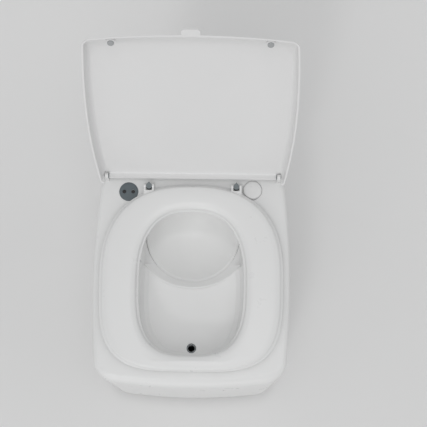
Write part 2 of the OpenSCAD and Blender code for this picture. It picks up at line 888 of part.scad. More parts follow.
module urine_tank() {
    bottom = base_top_z + seat_gap;
    tank_corner_r = 38;
    color(tank_grey)
        difference() {
            union() {
                translate([0, 0, bottom])
                    linear_extrude(tank_h)
                        tank_shape(0, tank_corner_r);
                translate([0, drain_y, bottom])
                    cylinder(r = neck_r, h = tank_h + neck_h, $fn = round_fn);
            }
            translate([0, 0, bottom + container_t])
                linear_extrude(tank_h - 2 * container_t)
                    tank_shape(-container_t, tank_corner_r);
            translate([0, drain_y, tank_top_z - 10])
                cylinder(r = neck_r - 2.5, h = 10 + neck_h + 1, $fn = round_fn);
        }
}

module tank_grommet() {
    color(dark)
        translate([0, drain_y, 0])
            rotate_extrude($fn = round_fn)
                polygon([
                    [trap_r + 0.3, tank_top_z + neck_h], [neck_r, tank_top_z + neck_h],
                    [neck_r + 0.3, tank_top_z + neck_h - 4], [neck_r + 3, tank_top_z + neck_h - 4],
                    [neck_r + 3, tank_top_z + neck_h + 3], [trap_r + 0.3, tank_top_z + neck_h + 3],
                ]);
}

module solids_bucket() {
    bottom = base_top_z + seat_gap;
    top = bottom + bucket_h;
    rim = 6;
    color(dark)
        translate([0, bowl_y, 0])
            rotate_extrude($fn = round_fn)
                polygon([
                    [0, bottom], [bucket_floor_r + container_t, bottom],
                    [bucket_r + container_t, top - 8], [bucket_r + rim, top - 8],
                    [bucket_r + rim, top], [bucket_r, top],
                    [bucket_floor_r, bottom + container_t], [0, bottom + container_t],
                ]);
}

// Rubber collar that guides what the bowl drops into the bucket
module drop_collar() {
    collar_in = chute_r + insert_t + seat_gap;
    top = chute_bottom_z + 8;
    bottom = base_top_z + seat_gap + bucket_h + 5;
    color(dark)
        translate([0, bowl_y, 0])
            rotate_extrude($fn = round_fn)
                polygon([
                    [collar_in, top], [collar_in + 3, top], [collar_in + 3, bottom],
                    [collar_in, bottom],
                ]);
}

// Turning bowl

bowl_rim_z = bowl_axis_z + bowl_rim_h;
bowl_sphere_r = (pow(bowl_r, 2) + pow(bowl_depth, 2)) / (2 * bowl_depth);
bowl_sphere_z = bowl_rim_z - bowl_depth + bowl_sphere_r;
shaft_in_x = bowl_r;
// The hubs start in the bowl's curved wall
hub_in_x = bowl_r - 14;
bush_in_x = chute_r + 0.5;
bush_out_x = chute_r + boss_l;
bush_flange_t = 2;
gear_x = bush_out_x + bush_flange_t + 0.8;
clip_t = 1;
shaft_left_x = bush_out_x + bush_flange_t + 4;
shaft_right_x = gear_x + gear_w + 3.5;

module rotating_bowl() {
    color(inner_white)
        difference() {
            union() {
                intersection() {
                    translate([0, bowl_y, bowl_sphere_z])
                        sphere(r = bowl_sphere_r + bowl_t, $fn = round_fn);
                    translate([0, bowl_y, 0])
                        cylinder(r = 2 * bowl_r, h = bowl_rim_z, $fn = round_fn);
                }
                for (sx = [-1, 1]) {
                    rod_x(hub_r, sx * hub_in_x, sx * hub_x, bowl_y, bowl_axis_z);
                }
            }
            translate([0, bowl_y, bowl_sphere_z])
                sphere(r = bowl_sphere_r, $fn = round_fn);
            for (sx = [-1, 1]) {
                rod_x(shaft_r + run, sx * shaft_in_x, sx * (hub_x + 1), bowl_y, bowl_axis_z);
            }
        }
}

module bowl_shaft(x0, x1) {
    side = sign(x1);
    color(steel)
        difference() {
            rod_x(shaft_r, x0, x1, bowl_y, bowl_axis_z);
            // Groove for the retaining clip
            difference() {
                rod_x(shaft_r + 1, x1 - side * 1, x1 - side * (1 + clip_t + 0.1), bowl_y, bowl_axis_z);
                rod_x(shaft_r - 1, x1, x1 - side * 4, bowl_y, bowl_axis_z);
            }
        }
}

module bowl_shaft_left() {
    bowl_shaft(-shaft_in_x - 0.5, -shaft_left_x);
}

module bowl_shaft_right() {
    bowl_shaft(shaft_in_x + 0.5, shaft_right_x);
}

// Split ring in each shaft's groove
module shaft_clips() {
    color(steel)
        for (side = [-1, 1]) {
            x1 = side < 0 ? -shaft_left_x : shaft_right_x;
            difference() {
                rod_x(shaft_r + 2.5, x1 - side * 1.05, x1 - side * (1.05 + clip_t), bowl_y, bowl_axis_z);
                rod_x(shaft_r - 0.95, x1, x1 - side * 4, bowl_y, bowl_axis_z);
                block(
                    [min(x1, x1 - side * 4), bowl_y - 2.5, bowl_axis_z - shaft_r - 4],
                    [max(x1, x1 - side * 4), bowl_y + 2.5, bowl_axis_z]
                );
            }
        }
}

module bowl_bush(side) {
    color(grey)
        difference() {
            union() {
                rod_x(bush_r, side * bush_in_x, side * bush_out_x, bowl_y, bowl_axis_z);
                rod_x(
                    bush_r + 3, side * bush_out_x, side * (bush_out_x + bush_flange_t),
                    bowl_y, bowl_axis_z
                );
            }
            rod_x(shaft_r + run, side * (bush_in_x - 1), side * (bush_out_x + 5), bowl_y, bowl_axis_z);
        }
}

module bowl_bush_left() {
    bowl_bush(-1);
}

module bowl_bush_right() {
    bowl_bush(1);
}

// Gears

pressure_angle = 20;
function involute_angle(a) = tan(a) * 180 / PI - a;

// Half angle of a tooth at a radius
function tooth_half_angle(teeth, r) =
    let (
        pitch_r = gear_module * teeth / 2,
        base_r = pitch_r * cos(pressure_angle),
        a = r <= base_r ? 0 : acos(base_r / r),
        play = backlash / 2 / pitch_r * 180 / PI
    )
    90 / teeth + involute_angle(pressure_angle) - involute_angle(a) - play / 2;

// A spur gear's outline, with a tooth on its first axis
function gear_outline(teeth) =
    let (
        pitch_r = gear_module * teeth / 2,
        tip_r = pitch_r + 0.95 * gear_module,
        root_r = pitch_r - 1.25 * gear_module,
        base_r = max(pitch_r * cos(pressure_angle), root_r),
        flank = [root_r, base_r, lerp(base_r, tip_r, 0.35), lerp(base_r, tip_r, 0.7), tip_r],
        first = base_r > root_r ? 0 : 1
    )
    [for (k = [0:teeth - 1]) each concat(
        [for (i = [first:4]) let (a = 360 * k / teeth - tooth_half_angle(teeth, flank[i]))
            [flank[i] * cos(a), flank[i] * sin(a)]],
        [for (i = [4:-1:first]) let (a = 360 * k / teeth + tooth_half_angle(teeth, flank[i]))
            [flank[i] * cos(a), flank[i] * sin(a)]]
    )];

gear_distance = gear_module * (bowl_teeth + pinion_teeth) / 2;
motor_y = bowl_y + gear_distance * cos(motor_angle);
motor_z = bowl_axis_z + gear_distance * sin(motor_angle);

module spur_gear(teeth, turn, hub, bore) {
    difference() {
        linear_extrude(gear_w)
            difference() {
                rotate(turn)
                    polygon(gear_outline(teeth));
                circle(r = bore, $fn = round_fn);
                if (hub > 0) {
                    for (k = [0:5]) {
                        rotate(60 * k)
                            translate([gear_module * teeth / 3.4, 0])
                                circle(r = gear_module * teeth / 9, $fn = round_fn);
                    }
                }
            }
    }
}

module bowl_gear() {
    color("#e8e2cf")
        translate([gear_x, bowl_y, bowl_axis_z])
            rotate([90, 0, 90])
                spur_gear(bowl_teeth, motor_angle, 1, shaft_r + run);
}

module drive_pinion() {
    color("#e8e2cf")
        translate([gear_x, motor_y, motor_z])
            rotate([90, 0, 90])
                spur_gear(pinion_teeth, motor_angle + 180 + 180 / pinion_teeth, 0, motor_shaft_r + run);
}

// Gear motor

bracket_t = 3;
bracket_face_x = gear_x + gear_w + 5;
gearbox_x = bracket_face_x + bracket_t;
motor_end_x = gearbox_x + gearbox_l + motor_l;
motor_tag_l = 3;
motor_pad_x = motor_end_x + motor_tag_l + slip;
motor_nose_r = 6;

module motor_shaft() {
    color(steel)
        rod_x(motor_shaft_r, gear_x - 1, gearbox_x + 6, motor_y, motor_z);
}

module gearbox() {
    nose_x = bracket_face_x - 1;
    color(steel)
        difference() {
            union() {
                rod_x(gearbox_r, gearbox_x, gearbox_x + gearbox_l, motor_y, motor_z);
                rod_x(motor_nose_r, nose_x, gearbox_x + 1, motor_y, motor_z);
            }
            rod_x(motor_shaft_r + run, nose_x - 1, gearbox_x + 7, motor_y, motor_z);
            for (a = motor_screw_angles) {
                rod_x(1.5 + run, gearbox_x - 1, gearbox_x + 6, motor_y + 13 * cos(a), motor_z + 13 * sin(a));
            }
        }
}

motor_screw_angles = [45, 135, 225, 315];

module drive_motor() {
    x0 = gearbox_x + gearbox_l;
    color(dark)
        union() {
            rod_x(motor_r, x0, motor_end_x, motor_y, motor_z);
            for (s = [-1, 1]) {
                tag_y = motor_y + s * 8;
                block(
                    [motor_end_x - 1, tag_y - 1.5, motor_z - 0.5],
                    [motor_end_x + motor_tag_l, tag_y + 1.5, motor_z + 0.5]
                );
            }
        }
}

// Plate that the gearbox is screwed to, with a flange along its underside that reaches the casing's pad
module motor_bracket() {
    half = gearbox_r + 3;
    shelf_z = motor_z - half;
    end_x = motor_pad_x - seat_gap;
    color(steel)
        difference() {
            union() {
                block(
                    [bracket_face_x, motor_y - half, shelf_z],
                    [gearbox_x, motor_y + half, motor_z + half - 2]
                );
                block(
                    [bracket_face_x, motor_y - half, shelf_z],
                    [end_x, motor_y + half, shelf_z + bracket_t]
                );
                block(
                    [end_x - bracket_t, motor_y - half, shelf_z],
                    [end_x, motor_y + half, motor_z - gearbox_r + 8]
                );
            }
            rod_x(motor_nose_r + slip, bracket_face_x - 1, gearbox_x + 1, motor_y, motor_z);
            for (a = motor_screw_angles) {
                rod_x(1.5 + run, bracket_face_x - 1, gearbox_x + 1,
                    motor_y + 13 * cos(a), motor_z + 13 * sin(a));
            }
        }
}

module motor_screws() {
    color(steel)
        for (a = motor_screw_angles) {
            y = motor_y + 13 * cos(a);
            z = motor_z + 13 * sin(a);
            rod_x(1.5, bracket_face_x, gearbox_x + 5, y, z);
            rod_x(2.8, bracket_face_x - 2, bracket_face_x, y, z);
        }
}

// Push button

button_top_z = deck_z + button_rise;
button_skirt_z = deck_z - 13;
cup_in_r = button_hole_r;
cup_out_r = cup_in_r + 3;
cup_floor_z = deck_z - 30;
cup_floor_t = 3;
stem_r = 4;
stem_end_z = cup_floor_z - 6;
spring_r = 7;
wire_r = 0.6;
spring_turns = 5;
button_under_z = deck_z - 3;
flange_r = button_hole_r - slip;

module push_button() {
    cap_t = button_top_z - button_under_z;
    color(white)
        translate([button_x, button_y, 0])
            difference() {
                union() {
                    rotate_extrude($fn = round_fn)
                        polygon([
                            [0, button_under_z], [button_r - 2.5, button_under_z],
                            [button_r - 2.5, button_skirt_z],
                            [flange_r, button_skirt_z], [flange_r, deck_z - flange_depth],
                            [button_r, deck_z - flange_depth], [button_r, button_top_z - 2],
                            [button_r - 0.6, button_top_z - 0.9], [button_r - 2, button_top_z - 0.3],
                            [button_r - 8, button_top_z - 0.05], [0, button_top_z],
                        ]);
                    translate([0, 0, stem_end_z])
                        cylinder(r = stem_r, h = button_top_z - cap_t - stem_end_z + 1, $fn = round_fn);
                }
                // Groove for the clip that holds the button down against its spring
                difference() {
                    translate([0, 0, clip_z - 0.05])
                        cylinder(r = stem_r + 1, h = clip_t + 0.1, $fn = round_fn);
                    translate([0, 0, clip_z - 1])
                        cylinder(r = stem_r - 1, h = clip_t + 2, $fn = round_fn);
                }
            }
}

clip_z = cup_floor_z - clip_t - 0.2;

module button_clip() {
    color(steel)
        translate([button_x, button_y, clip_z])
            difference() {
                cylinder(r = stem_r + 2.5, h = clip_t, $fn = round_fn);
                translate([0, 0, -1])
                    cylinder(r = stem_r - 0.95, h = clip_t + 2, $fn = round_fn);
                block([-2, -stem_r - 4, -1], [2, 0, clip_t + 1]);
            }
}

// Cup under the deck that guides the button
module button_housing() {
    color(inner_white)
        translate([button_x, button_y, 0])
            difference() {
                union() {
                    translate([0, 0, cup_floor_z])
                        cylinder(r = cup_out_r, h = deck_under_z - cup_floor_z, $fn = round_fn);
                    // Legs that carry the switch board
                    for (s = [-1, 1]) {
                        block([s * 13 - 2, -3, board_z + board_t], [s * 13 + 2, 3, cup_floor_z + 1]);
                    }
                }
                translate([0, 0, cup_floor_z + cup_floor_t])
                    cylinder(r = cup_in_r, h = deck_z, $fn = round_fn);
                translate([0, 0, cup_floor_z - 1])
                    cylinder(r = stem_r + 0.1, h = cup_floor_t + 2, $fn = round_fn);
            }
}

// The button's return spring, one unbroken coil
function coil_point(turn, angle, r0, z0, z1) =
    let (
        t = turn / spring_turns,
        a = 360 * turn,
        r = r0 + wire_r * cos(angle)
    )
    [r * cos(a), r * sin(a), lerp(z0, z1, t) + wire_r * sin(angle)];

module button_spring() {
    steps = 16 * spring_turns;
    z0 = cup_floor_z + cup_floor_t + wire_r + 0.1;
    z1 = button_under_z - wire_r - 0.1;
    rings = [for (k = [0:steps])
        [for (s = [0:5]) coil_point(k * spring_turns / steps, -60 * s, spring_r, z0, z1)]];
    color(steel)
        translate([button_x, button_y, 0])
            loft(rings);
}

board_t = 1.6;
board_z = stem_end_z - button_travel - 0.6 - 4 - board_t;

// Board with the switch that the stem's magnet closes
module button_switch() {
    color("#3f6b4d")
        translate([button_x, button_y, 0])
            union() {
                block([-16, -7, board_z], [16, 7, board_z + board_t]);
                block([-5, -4, board_z + board_t - eps], [5, 4, board_z + board_t + 4]);
            }
}

// Presence sensor

module sensor_face() {
    back_z = deck_under_z - 12;
    color(grey)
        translate([sensor_x, sensor_y, 0])
            difference() {
                union() {
                    translate([0, 0, deck_z - sensor_face_t])
                        cylinder(r = sensor_r, h = sensor_face_t + 0.8, $fn = round_fn);
                    translate([0, 0, back_z])
                        cylinder(r = sensor_body_r, h = deck_z - back_z - 0.5, $fn = round_fn);
                }
                for (s = [-1, 1]) {
                    translate([s * window_pitch / 2, 0, deck_z - 7])
                        cylinder(r = window_r, h = 10, $fn = round_fn);
                }
            }
}

module sensor_windows() {
    color("#101214")
        for (s = [-1, 1]) {
            translate([sensor_x + s * window_pitch / 2, sensor_y, deck_z - 3])
                cylinder(r = window_r - run, h = 2, $fn = round_fn);
        }
}

module sensor_nut() {
    color(grey)
        translate([sensor_x, sensor_y, deck_under_z - 6])
            difference() {
                cylinder(r = sensor_body_r + 6, h = 6, $fn = round_fn);
                translate([0, 0, -1])
                    cylinder(r = sensor_body_r + run, h = 8, $fn = round_fn);
            }
}

// Lid

lid_axis_z = deck_z + lid_axis_h;
lid_rim_z = deck_z + lid_gap;
lid_front_y = lid_axis_y - lid_reach;
lid_back = 4;
lid_rear_y = lid_axis_y + lid_back;
lid_rear_w = 5;
lid_rear_r = 5;
lid_steps = [0, 0.06, 0.16, 0.3, 0.48, 0.72, 1];
lid_inner_steps = [0.3, 0.65];

// One level of the lid: t is 0 at the rim and 1 where the top's crown starts
function lid_ring(t, skin) =
    let (
        ix = lid_side_w * t + skin,
        iy = lid_front_w * t + skin,
        ir = lid_rear_w * t + skin,
        r = lid_corner_r + 20 * t - skin,
        flat = outline(body_w / 2 - ix, lid_front_y + iy, lid_rear_y - ir, [r, r], [lid_rear_r, lid_rear_r]),
        side = sqrt(1 - pow(1 - t, 2)),
        front = sin(90 * t)
    )
    [for (i = [0:outline_n - 1])
        let (p = bend(flat[i])) [p[0], p[1], lid_rim_z + (lid_h - skin) * mix3(side, front, side, i)]];

// One level of the lid's crown, drawn in towards the middle
function crown_ring(t, skin) =
    let (
        edge = lid_ring(1, skin),
        mid_y = (lid_front_y + lid_rear_y) / 2,
        z = lid_rim_z + lid_h - skin + lid_crown * (1 - pow(1 - t, 2))
    )
    [for (p = edge) [p[0] * (1 - t), lerp(p[1], mid_y, t), z]];

module lid_solid(skin) {
    low = [for (p = lid_ring(0, skin)) [p[0], p[1], lid_rim_z - 2]];
    loft(concat(
        skin > 0 ? [low] : [],
        [for (t = lid_steps) lid_ring(t, skin)],
        [for (t = lid_inner_steps) crown_ring(t, skin)]
    ));
}

// Turns the lid from closed to the open position that it rests in
module opened() {
    translate([0, lid_axis_y, lid_axis_z])
        rotate([-90 - lid_lean, 0, 0])
            translate([0, -lid_axis_y, -lid_axis_z])
                children();
}

bumper_top_z = lid_rim_z + 6;
bumper_low_z = deck_z + 0.4;
bumper_boss_z = lid_rim_z + 0.5;
lid_bar_h = 10;
pin_in_x = bracket_x - bracket_w - seat_gap;
pin_head_t = 1;
window_x = pin_in_x - pin_head_t - seat_gap;
window_top_z = lid_rim_z + lid_h - lid_t + 0.1;

module lid() {
    arch_half = bumper_x - bumper_r - 6;
    arch_r = (pow(arch_half, 2) + pow(lid_arch, 2)) / (2 * lid_arch);
    tab_z = lid_rim_z + lid_arch;
    color(white)
        opened()
            difference() {
                union() {
                    difference() {
                        lid_solid(0);
                        lid_solid(lid_t);
                        // Arched front rim
                        rod_y(arch_r, lid_front_y - 20, lid_front_y + 30, 0, lid_rim_z + lid_arch - arch_r);
                        // Raised rear rim between the hinge brackets
                        block(
                            [-window_x, lid_rear_y - lid_rear_w - 4, lid_rim_z - 1],
                            [window_x, lid_rear_y + 1, lid_rim_z + lid_h - lid_t - lid_bar_h]
                        );
                        // Windows in the rear wall for the hinge brackets
                        for (s = [-1, 1]) {
                            block(
                                [s > 0 ? window_x : -bracket_x - 1, lid_axis_y - 10, lid_rim_z - 1],
                                [s > 0 ? bracket_x + 1 : -window_x, lid_rear_y + 1, window_top_z]
                            );
                        }
                    }
                    // Bosses that hold the bumpers
                    intersection() {
                        for (s = [-1, 1]) {
                            translate([s * bumper_x, bumper_y, bumper_boss_z])
                                cylinder(r = bumper_r + 2, h = lid_h, $fn = round_fn);
                        }
                        lid_solid(0);
                    }
                    // Finger tab
                    translate([0, 0, tab_z])
                        linear_extrude(tab_t)
                            translate([0, lid_front_y - tab_l / 2 + 5])
                                rounded_rect(tab_w, tab_l + 10, 7);
                }
                for (s = [-1, 1]) {
                    translate([s * bumper_x, bumper_y, lid_rim_z - 1])
                        cylinder(r = 3 + run, h = bumper_top_z - lid_rim_z + 1, $fn = round_fn);
                    rod_x(lid_pin_r + run, s * (bracket_x - 2), s * (body_w / 2), lid_axis_y, lid_axis_z);
                }
            }
}

module lid_bumpers() {
    color(grey)
        opened()
            for (s = [-1, 1]) {
                translate([s * bumper_x, bumper_y, 0])
                    rotate_extrude($fn = round_fn)
                        polygon([
                            [0, bumper_low_z], [bumper_r - 1, bumper_low_z], [bumper_r, bumper_low_z + 1],
                            [bumper_r, bumper_boss_z], [3, bumper_boss_z], [3, bumper_top_z - 0.1],
                            [0, bumper_top_z - 0.1],
                        ]);
            }
}

lid_pin_out_x = half_w(lid_axis_y) - 3.4;

module lid_hinge_pins() {
    color(grey)
        for (s = [-1, 1]) {
            rod_x(lid_pin_r, s * (pin_in_x - pin_head_t / 2), s * lid_pin_out_x, lid_axis_y, lid_axis_z);
            rod_x(lid_pin_r + 1.8, s * (pin_in_x - pin_head_t), s * pin_in_x, lid_axis_y, lid_axis_z);
        }
}

module lid_bracket(s) {
    // The lid turns round the bracket's head
    r = window_top_z - lid_axis_z - seat_gap;
    x0 = s * (bracket_x - bracket_w);
    x1 = s * bracket_x;
    color(white)
        difference() {
            union() {
                rod_x(r, x0, x1, lid_axis_y, lid_axis_z);
                block([min(x0, x1), lid_axis_y - r, deck_z], [max(x0, x1), lid_axis_y + r - 2, lid_axis_z]);
            }
            rod_x(lid_pin_r + run, x0 - s, x1 + s, lid_axis_y, lid_axis_z);
        }
}

module lid_bracket_left() {
    lid_bracket(-1);
}

module lid_bracket_right() {
    lid_bracket(1);
}

// Seat

seat_axis_z = deck_z + seat_axis_h;
seat_axis_y = seat_rear_y;
seat_low_z = deck_z + buffer_h;

// A point of the seat's section: a distance in from the outer edge (first) or from the opening's edge
function seat_point(angle, from_outer, d, z) =
    let (
        o = seat_outer(angle),
        i = hole_point(0, angle),
        run_in = (i - o) / norm(i - o)
    )
    from_outer ? [o[0] + run_in[0] * d, o[1] + run_in[1] * d, z]
               : [i[0] - run_in[0] * d, i[1] - run_in[1] * d, z];

// The section's points, clockwise: from the outer edge or not, distance in, share of the height
seat_section = [
    [true, 3, 0], [true, 0.6, 0.12], [true, 0, 0.38], [true, 0.8, 0.68], [true, 4, 0.91],
    [true, 10, 0.98], [true, 20, 1], [false, 22, 0.995], [false, 10, 0.96], [false, 3, 0.82],
    [false, 0, 0.48], [false, 1, 0.14],
    [false, 4, 0],
];

module seat_ring() {
    n = len(seat_section);
    points = [for (k = [0:egg_n - 1]) for (s = seat_section)
        seat_point(360 * k / egg_n, s[0], s[1], seat_low_z + seat_t * s[2])];
    faces = [for (k = [0:egg_n - 1]) for (j = [0:n - 1]) for (h = [0:1])
        let (
            a = k * n + j,
            b = k * n + (j + 1) % n,
            c = ((k + 1) % egg_n) * n + (j + 1) % n,
            d = ((k + 1) % egg_n) * n + j
        )
        h == 0 ? [a, b, c] : [a, c, d]];
    polyhedron(points = points, faces = faces);
}

ear_end_r = 5.5;
ear_low_z = seat_low_z;
ear_inset = post_r + 0.6;
ear_l = 38;
web_back = post_r + 3.2;

module seat() {
    color(white)
        difference() {
            union() {
                seat_ring();
                for (s = [-1, 1]) {
                    // Web between a post's two ears
                    block(
                        [s * post_x - ear_inset - 1, seat_axis_y - ear_l, ear_low_z],
                        [s * post_x + ear_inset + 1, seat_axis_y - web_back, seat_axis_z + ear_end_r - 0.5]
                    );
                    for (e = [-1, 1]) {
                        x = s * post_x + e * (ear_inset + ear_t / 2);
                        rod_x(ear_end_r, x - ear_t / 2, x + ear_t / 2, seat_axis_y, seat_axis_z);
                        block(
                            [x - ear_t / 2, seat_axis_y - ear_l, ear_low_z],
                            [x + ear_t / 2, seat_axis_y, seat_axis_z + ear_end_r - 0.5]
                        );
                    }
                }
            }
            for (s = [-1, 1]) {
                rod_x(
                    seat_pin_r + run, s * post_x - ear_inset - ear_t - 1, s * post_x + ear_inset + ear_t + 1,
                    seat_axis_y, seat_axis_z
                );
            }
        }
}

module seat_hinge_pins() {
    half = ear_inset + ear_t - 0.3;
    color(steel)
        for (s = [-1, 1]) {
            rod_x(seat_pin_r, s * post_x - half, s * post_x + half, seat_axis_y, seat_axis_z);
        }
}

// Teardrop posts that the seat's pins turn in
module seat_posts() {
    tail = 6;
    top_z = seat_axis_z + 6;
    color(grey)
        for (s = [-1, 1]) {
            difference() {
                translate([s * post_x, seat_axis_y, deck_z])
                    linear_extrude(top_z - deck_z)
                        union() {
                            circle(r = post_r, $fn = round_fn);
                            polygon([
                                [-post_r * 0.8, post_r * 0.6], [0, post_r + tail - 3],
                                [post_r * 0.8, post_r * 0.6],
                            ]);
                        }
                rod_x(
                    seat_pin_r + run, s * post_x - post_r - 2, s * post_x + post_r + 2,
                    seat_axis_y, seat_axis_z
                );
            }
        }
}

buffer_angles = [25, 155, 205, 335];

module seat_buffers() {
    color(grey)
        for (a = buffer_angles) {
            mid = (seat_outer(a) + hole_point(0, a)) / 2;
            translate([mid[0], mid[1], deck_z + seat_gap])
                cylinder(r = 7, h = buffer_h - seat_gap, $fn = round_fn);
        }
}

// Ventilation

fan_y1 = rear_y;
fan_y0 = fan_y1 - fan_t;
fan_bore_r = fan_side / 2 - 2;
fan_hole_d = fan_side / 2 - 5;
fan_holes = [for (sx = [-1, 1]) for (sz = [-1, 1]) [sx * fan_hole_d, vent_z + sz * fan_hole_d]];

module vent_spigot() {
    y0 = rear_y + panel_t;
    color(inner_white)
        difference() {
            union() {
                rod_y(vent_r, y0, y0 + vent_l, 0, vent_z);
                rod_y(vent_flange_r, y0, y0 + 3, 0, vent_z);
            }
            rod_y(vent_r - vent_t, y0 - 1, y0 + vent_l + 1, 0, vent_z);
            for (s = fan_holes) {
                rod_y(screw_head_r + slip, y0 - 1, y0 + 4, s[0], s[1]);
            }
        }
}

module fan_frame() {
    hub_back_y = fan_y0 + 3;
    color(dark)
        difference() {
            union() {
                difference() {
                    block(
                        [-fan_side / 2, fan_y0, vent_z - fan_side / 2],
                        [fan_side / 2, fan_y1, vent_z + fan_side / 2]
                    );
                    rod_y(fan_bore_r, fan_y0 - 1, fan_y1 + 1, 0, vent_z);
                }
                rod_y(fan_hub_r, fan_y0 + 0.2, hub_back_y, 0, vent_z);
                for (k = [0:2]) {
                    translate([0, fan_y0, vent_z])
                        rotate([0, 120 * k + 45, 0])
                            block([fan_hub_r - 2, 0.6, -2], [fan_bore_r + 0.8, 2.6, 2]);
                }
                // Spindle that the rotor turns on
                rod_y(3, fan_y0 + 1, fan_y0 + 14, 0, vent_z);
            }
            for (s = fan_holes) {
                rod_y(screw_r + run, fan_y0 - 1, fan_y1 + 1, s[0], s[1]);
            }
        }
}

module fan_rotor() {
    y0 = fan_y0 + 4;
    y1 = fan_y1 - 4;
    blade_w = y1 - y0 - 4;
    color(dark)
        difference() {
            union() {
                rod_y(fan_hub_r, y0, y1, 0, vent_z);
                for (k = [0:fan_blades - 1]) {
                    translate([0, (y0 + y1) / 2, vent_z])
                        rotate([0, 360 * k / fan_blades, 0])
                            rotate([38, 0, 0])
                                block(
                                    [fan_hub_r - 2, -blade_w / 2, -0.9],
                                    [fan_bore_r - 2.5, blade_w / 2, 0.9]
                                );
                }
            }
            rod_y(3 + run, y0 - 1, fan_y0 + 15, 0, vent_z);
        }
}

module fan_screws() {
    color(steel)
        for (s = fan_holes) {
            rear_screw(s[0], rear_y + panel_t, s[1], panel_t + 14);
        }
}

// Electronics

box_y = 66;
box_z = 338;
box_l = 96;
box_hgt = 62;
box_w = 46;
box_x0 = box_pad_x + seat_gap;
box_x1 = box_x0 + box_w;

module control_box() {
    color(dark)
        difference() {
            block(
                [box_x0, box_y - box_l / 2, box_z - box_hgt / 2],
                [box_x1, box_y + box_l / 2, box_z + box_hgt / 2]
            );
            block(
                [box_x0 + 2, box_y - box_l / 2 + 2, box_z - box_hgt / 2 + 2],
                [box_x1 + 1, box_y + box_l / 2 - 2, box_z + box_hgt / 2 - 2]
            );
        }
}

module control_cover() {
    color(grey)
        union() {
            block(
                [box_x1, box_y - box_l / 2, box_z - box_hgt / 2],
                [box_x1 + 2, box_y + box_l / 2, box_z + box_hgt / 2]
            );
            block(
                [box_x1 - 2, box_y - box_l / 2 + 2.3, box_z - box_hgt / 2 + 2.3],
                [box_x1, box_y + box_l / 2 - 2.3, box_z + box_hgt / 2 - 2.3]
            );
        }
}

// Low-voltage socket in the rear panel
module power_inlet() {
    y0 = rear_y + panel_t;
    color(dark)
        difference() {
            union() {
                rod_y(inlet_r, rear_y - 16, y0 + 1, inlet_x, inlet_z);
                rod_y(inlet_r + 2.5, y0, y0 + 2, inlet_x, inlet_z);
                rod_y(inlet_r + 3, rear_y - 4, rear_y - 0.2, inlet_x, inlet_z);
            }
            difference() {
                rod_y(2.9, rear_y - 10, y0 + 3, inlet_x, inlet_z);
                rod_y(1.1, rear_y - 11, y0, inlet_x, inlet_z);
            }
        }
}

base_tray();
floor_feet();
outer_casing();
top_deck();
rear_panel();
rear_panel_screws();
deck_screws();
bowl_insert();
drain_ring();
odour_trap();
urine_tank();
tank_grommet();
solids_bucket();
drop_collar();
rotating_bowl();
bowl_shaft_left();
bowl_shaft_right();
shaft_clips();
bowl_bush_left();
bowl_bush_right();
bowl_gear();
drive_pinion();
motor_shaft();
gearbox();
drive_motor();
motor_bracket();
motor_screws();
push_button();
button_housing();
button_spring();
button_clip();
button_switch();
sensor_face();
sensor_windows();
sensor_nut();
lid();
lid_bumpers();
lid_hinge_pins();
lid_bracket_left();
lid_bracket_right();
seat();
seat_buffers();
seat_hinge_pins();
seat_posts();
vent_spigot();
fan_frame();
fan_rotor();
fan_screws();
control_box();
control_cover();
power_inlet();
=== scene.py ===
import json
import math
import bmesh
import bpy
from mathutils import Matrix, Vector

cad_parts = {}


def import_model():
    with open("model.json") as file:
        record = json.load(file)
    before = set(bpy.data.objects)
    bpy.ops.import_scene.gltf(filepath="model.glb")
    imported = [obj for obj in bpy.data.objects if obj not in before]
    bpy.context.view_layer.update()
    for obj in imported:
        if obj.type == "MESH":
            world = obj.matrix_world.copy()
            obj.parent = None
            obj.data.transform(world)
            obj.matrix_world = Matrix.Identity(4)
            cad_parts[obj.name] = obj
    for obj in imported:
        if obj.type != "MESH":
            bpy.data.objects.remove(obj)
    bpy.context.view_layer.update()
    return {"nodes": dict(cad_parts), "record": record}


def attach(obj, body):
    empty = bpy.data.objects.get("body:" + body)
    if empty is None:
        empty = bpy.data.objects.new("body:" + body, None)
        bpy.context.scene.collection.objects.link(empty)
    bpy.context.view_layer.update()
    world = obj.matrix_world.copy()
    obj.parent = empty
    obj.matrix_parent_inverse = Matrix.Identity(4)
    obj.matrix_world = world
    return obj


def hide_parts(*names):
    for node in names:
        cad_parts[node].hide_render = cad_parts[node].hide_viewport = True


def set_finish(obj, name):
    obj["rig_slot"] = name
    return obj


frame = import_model()
SLOT_OF = {p["node"]: p["material_slot"] for p in frame["record"]["subparts"]}
MM = 0.001

# Sizes in millimetres, as in the part's source: X to the right, Y to the rear, Z up

# Body
BODY_W = 406.0  # width at the waist
FRONT, REAR = -249.0, 260.0
DECK = 430.0  # the deck's height
SEAM = 390.0  # where the casing ends and the deck's skirt begins
SEAM_GAP = 0.25  # from the seam to either edge
BASE = 10.0  # the casing's lower edge
EDGE = 5.0  # radius of that edge
WALL = 4.0
TAPER = 6.0  # what each side draws in by from the seam to the base
WAIST = -26.0  # the Y at which the body is widest
SPAN = 190.0  # this far from the waist each side has drawn in by its bow
FRONT_BOW, REAR_BOW = 7.5, 10.5
CROWN = 16.0  # what the front's ends lie back by
CORNER_F, CORNER_R = 42.0, 28.0  # radii of the upright corners, front and rear
SIDE_R, FRONT_R, REAR_R = 9.0, 21.0, 12.0  # radii of the deck's edge
PANEL_X, PANEL_LOW, PANEL_HIGH = 112.0, 83.0, 357.0  # half width and heights of the rear opening

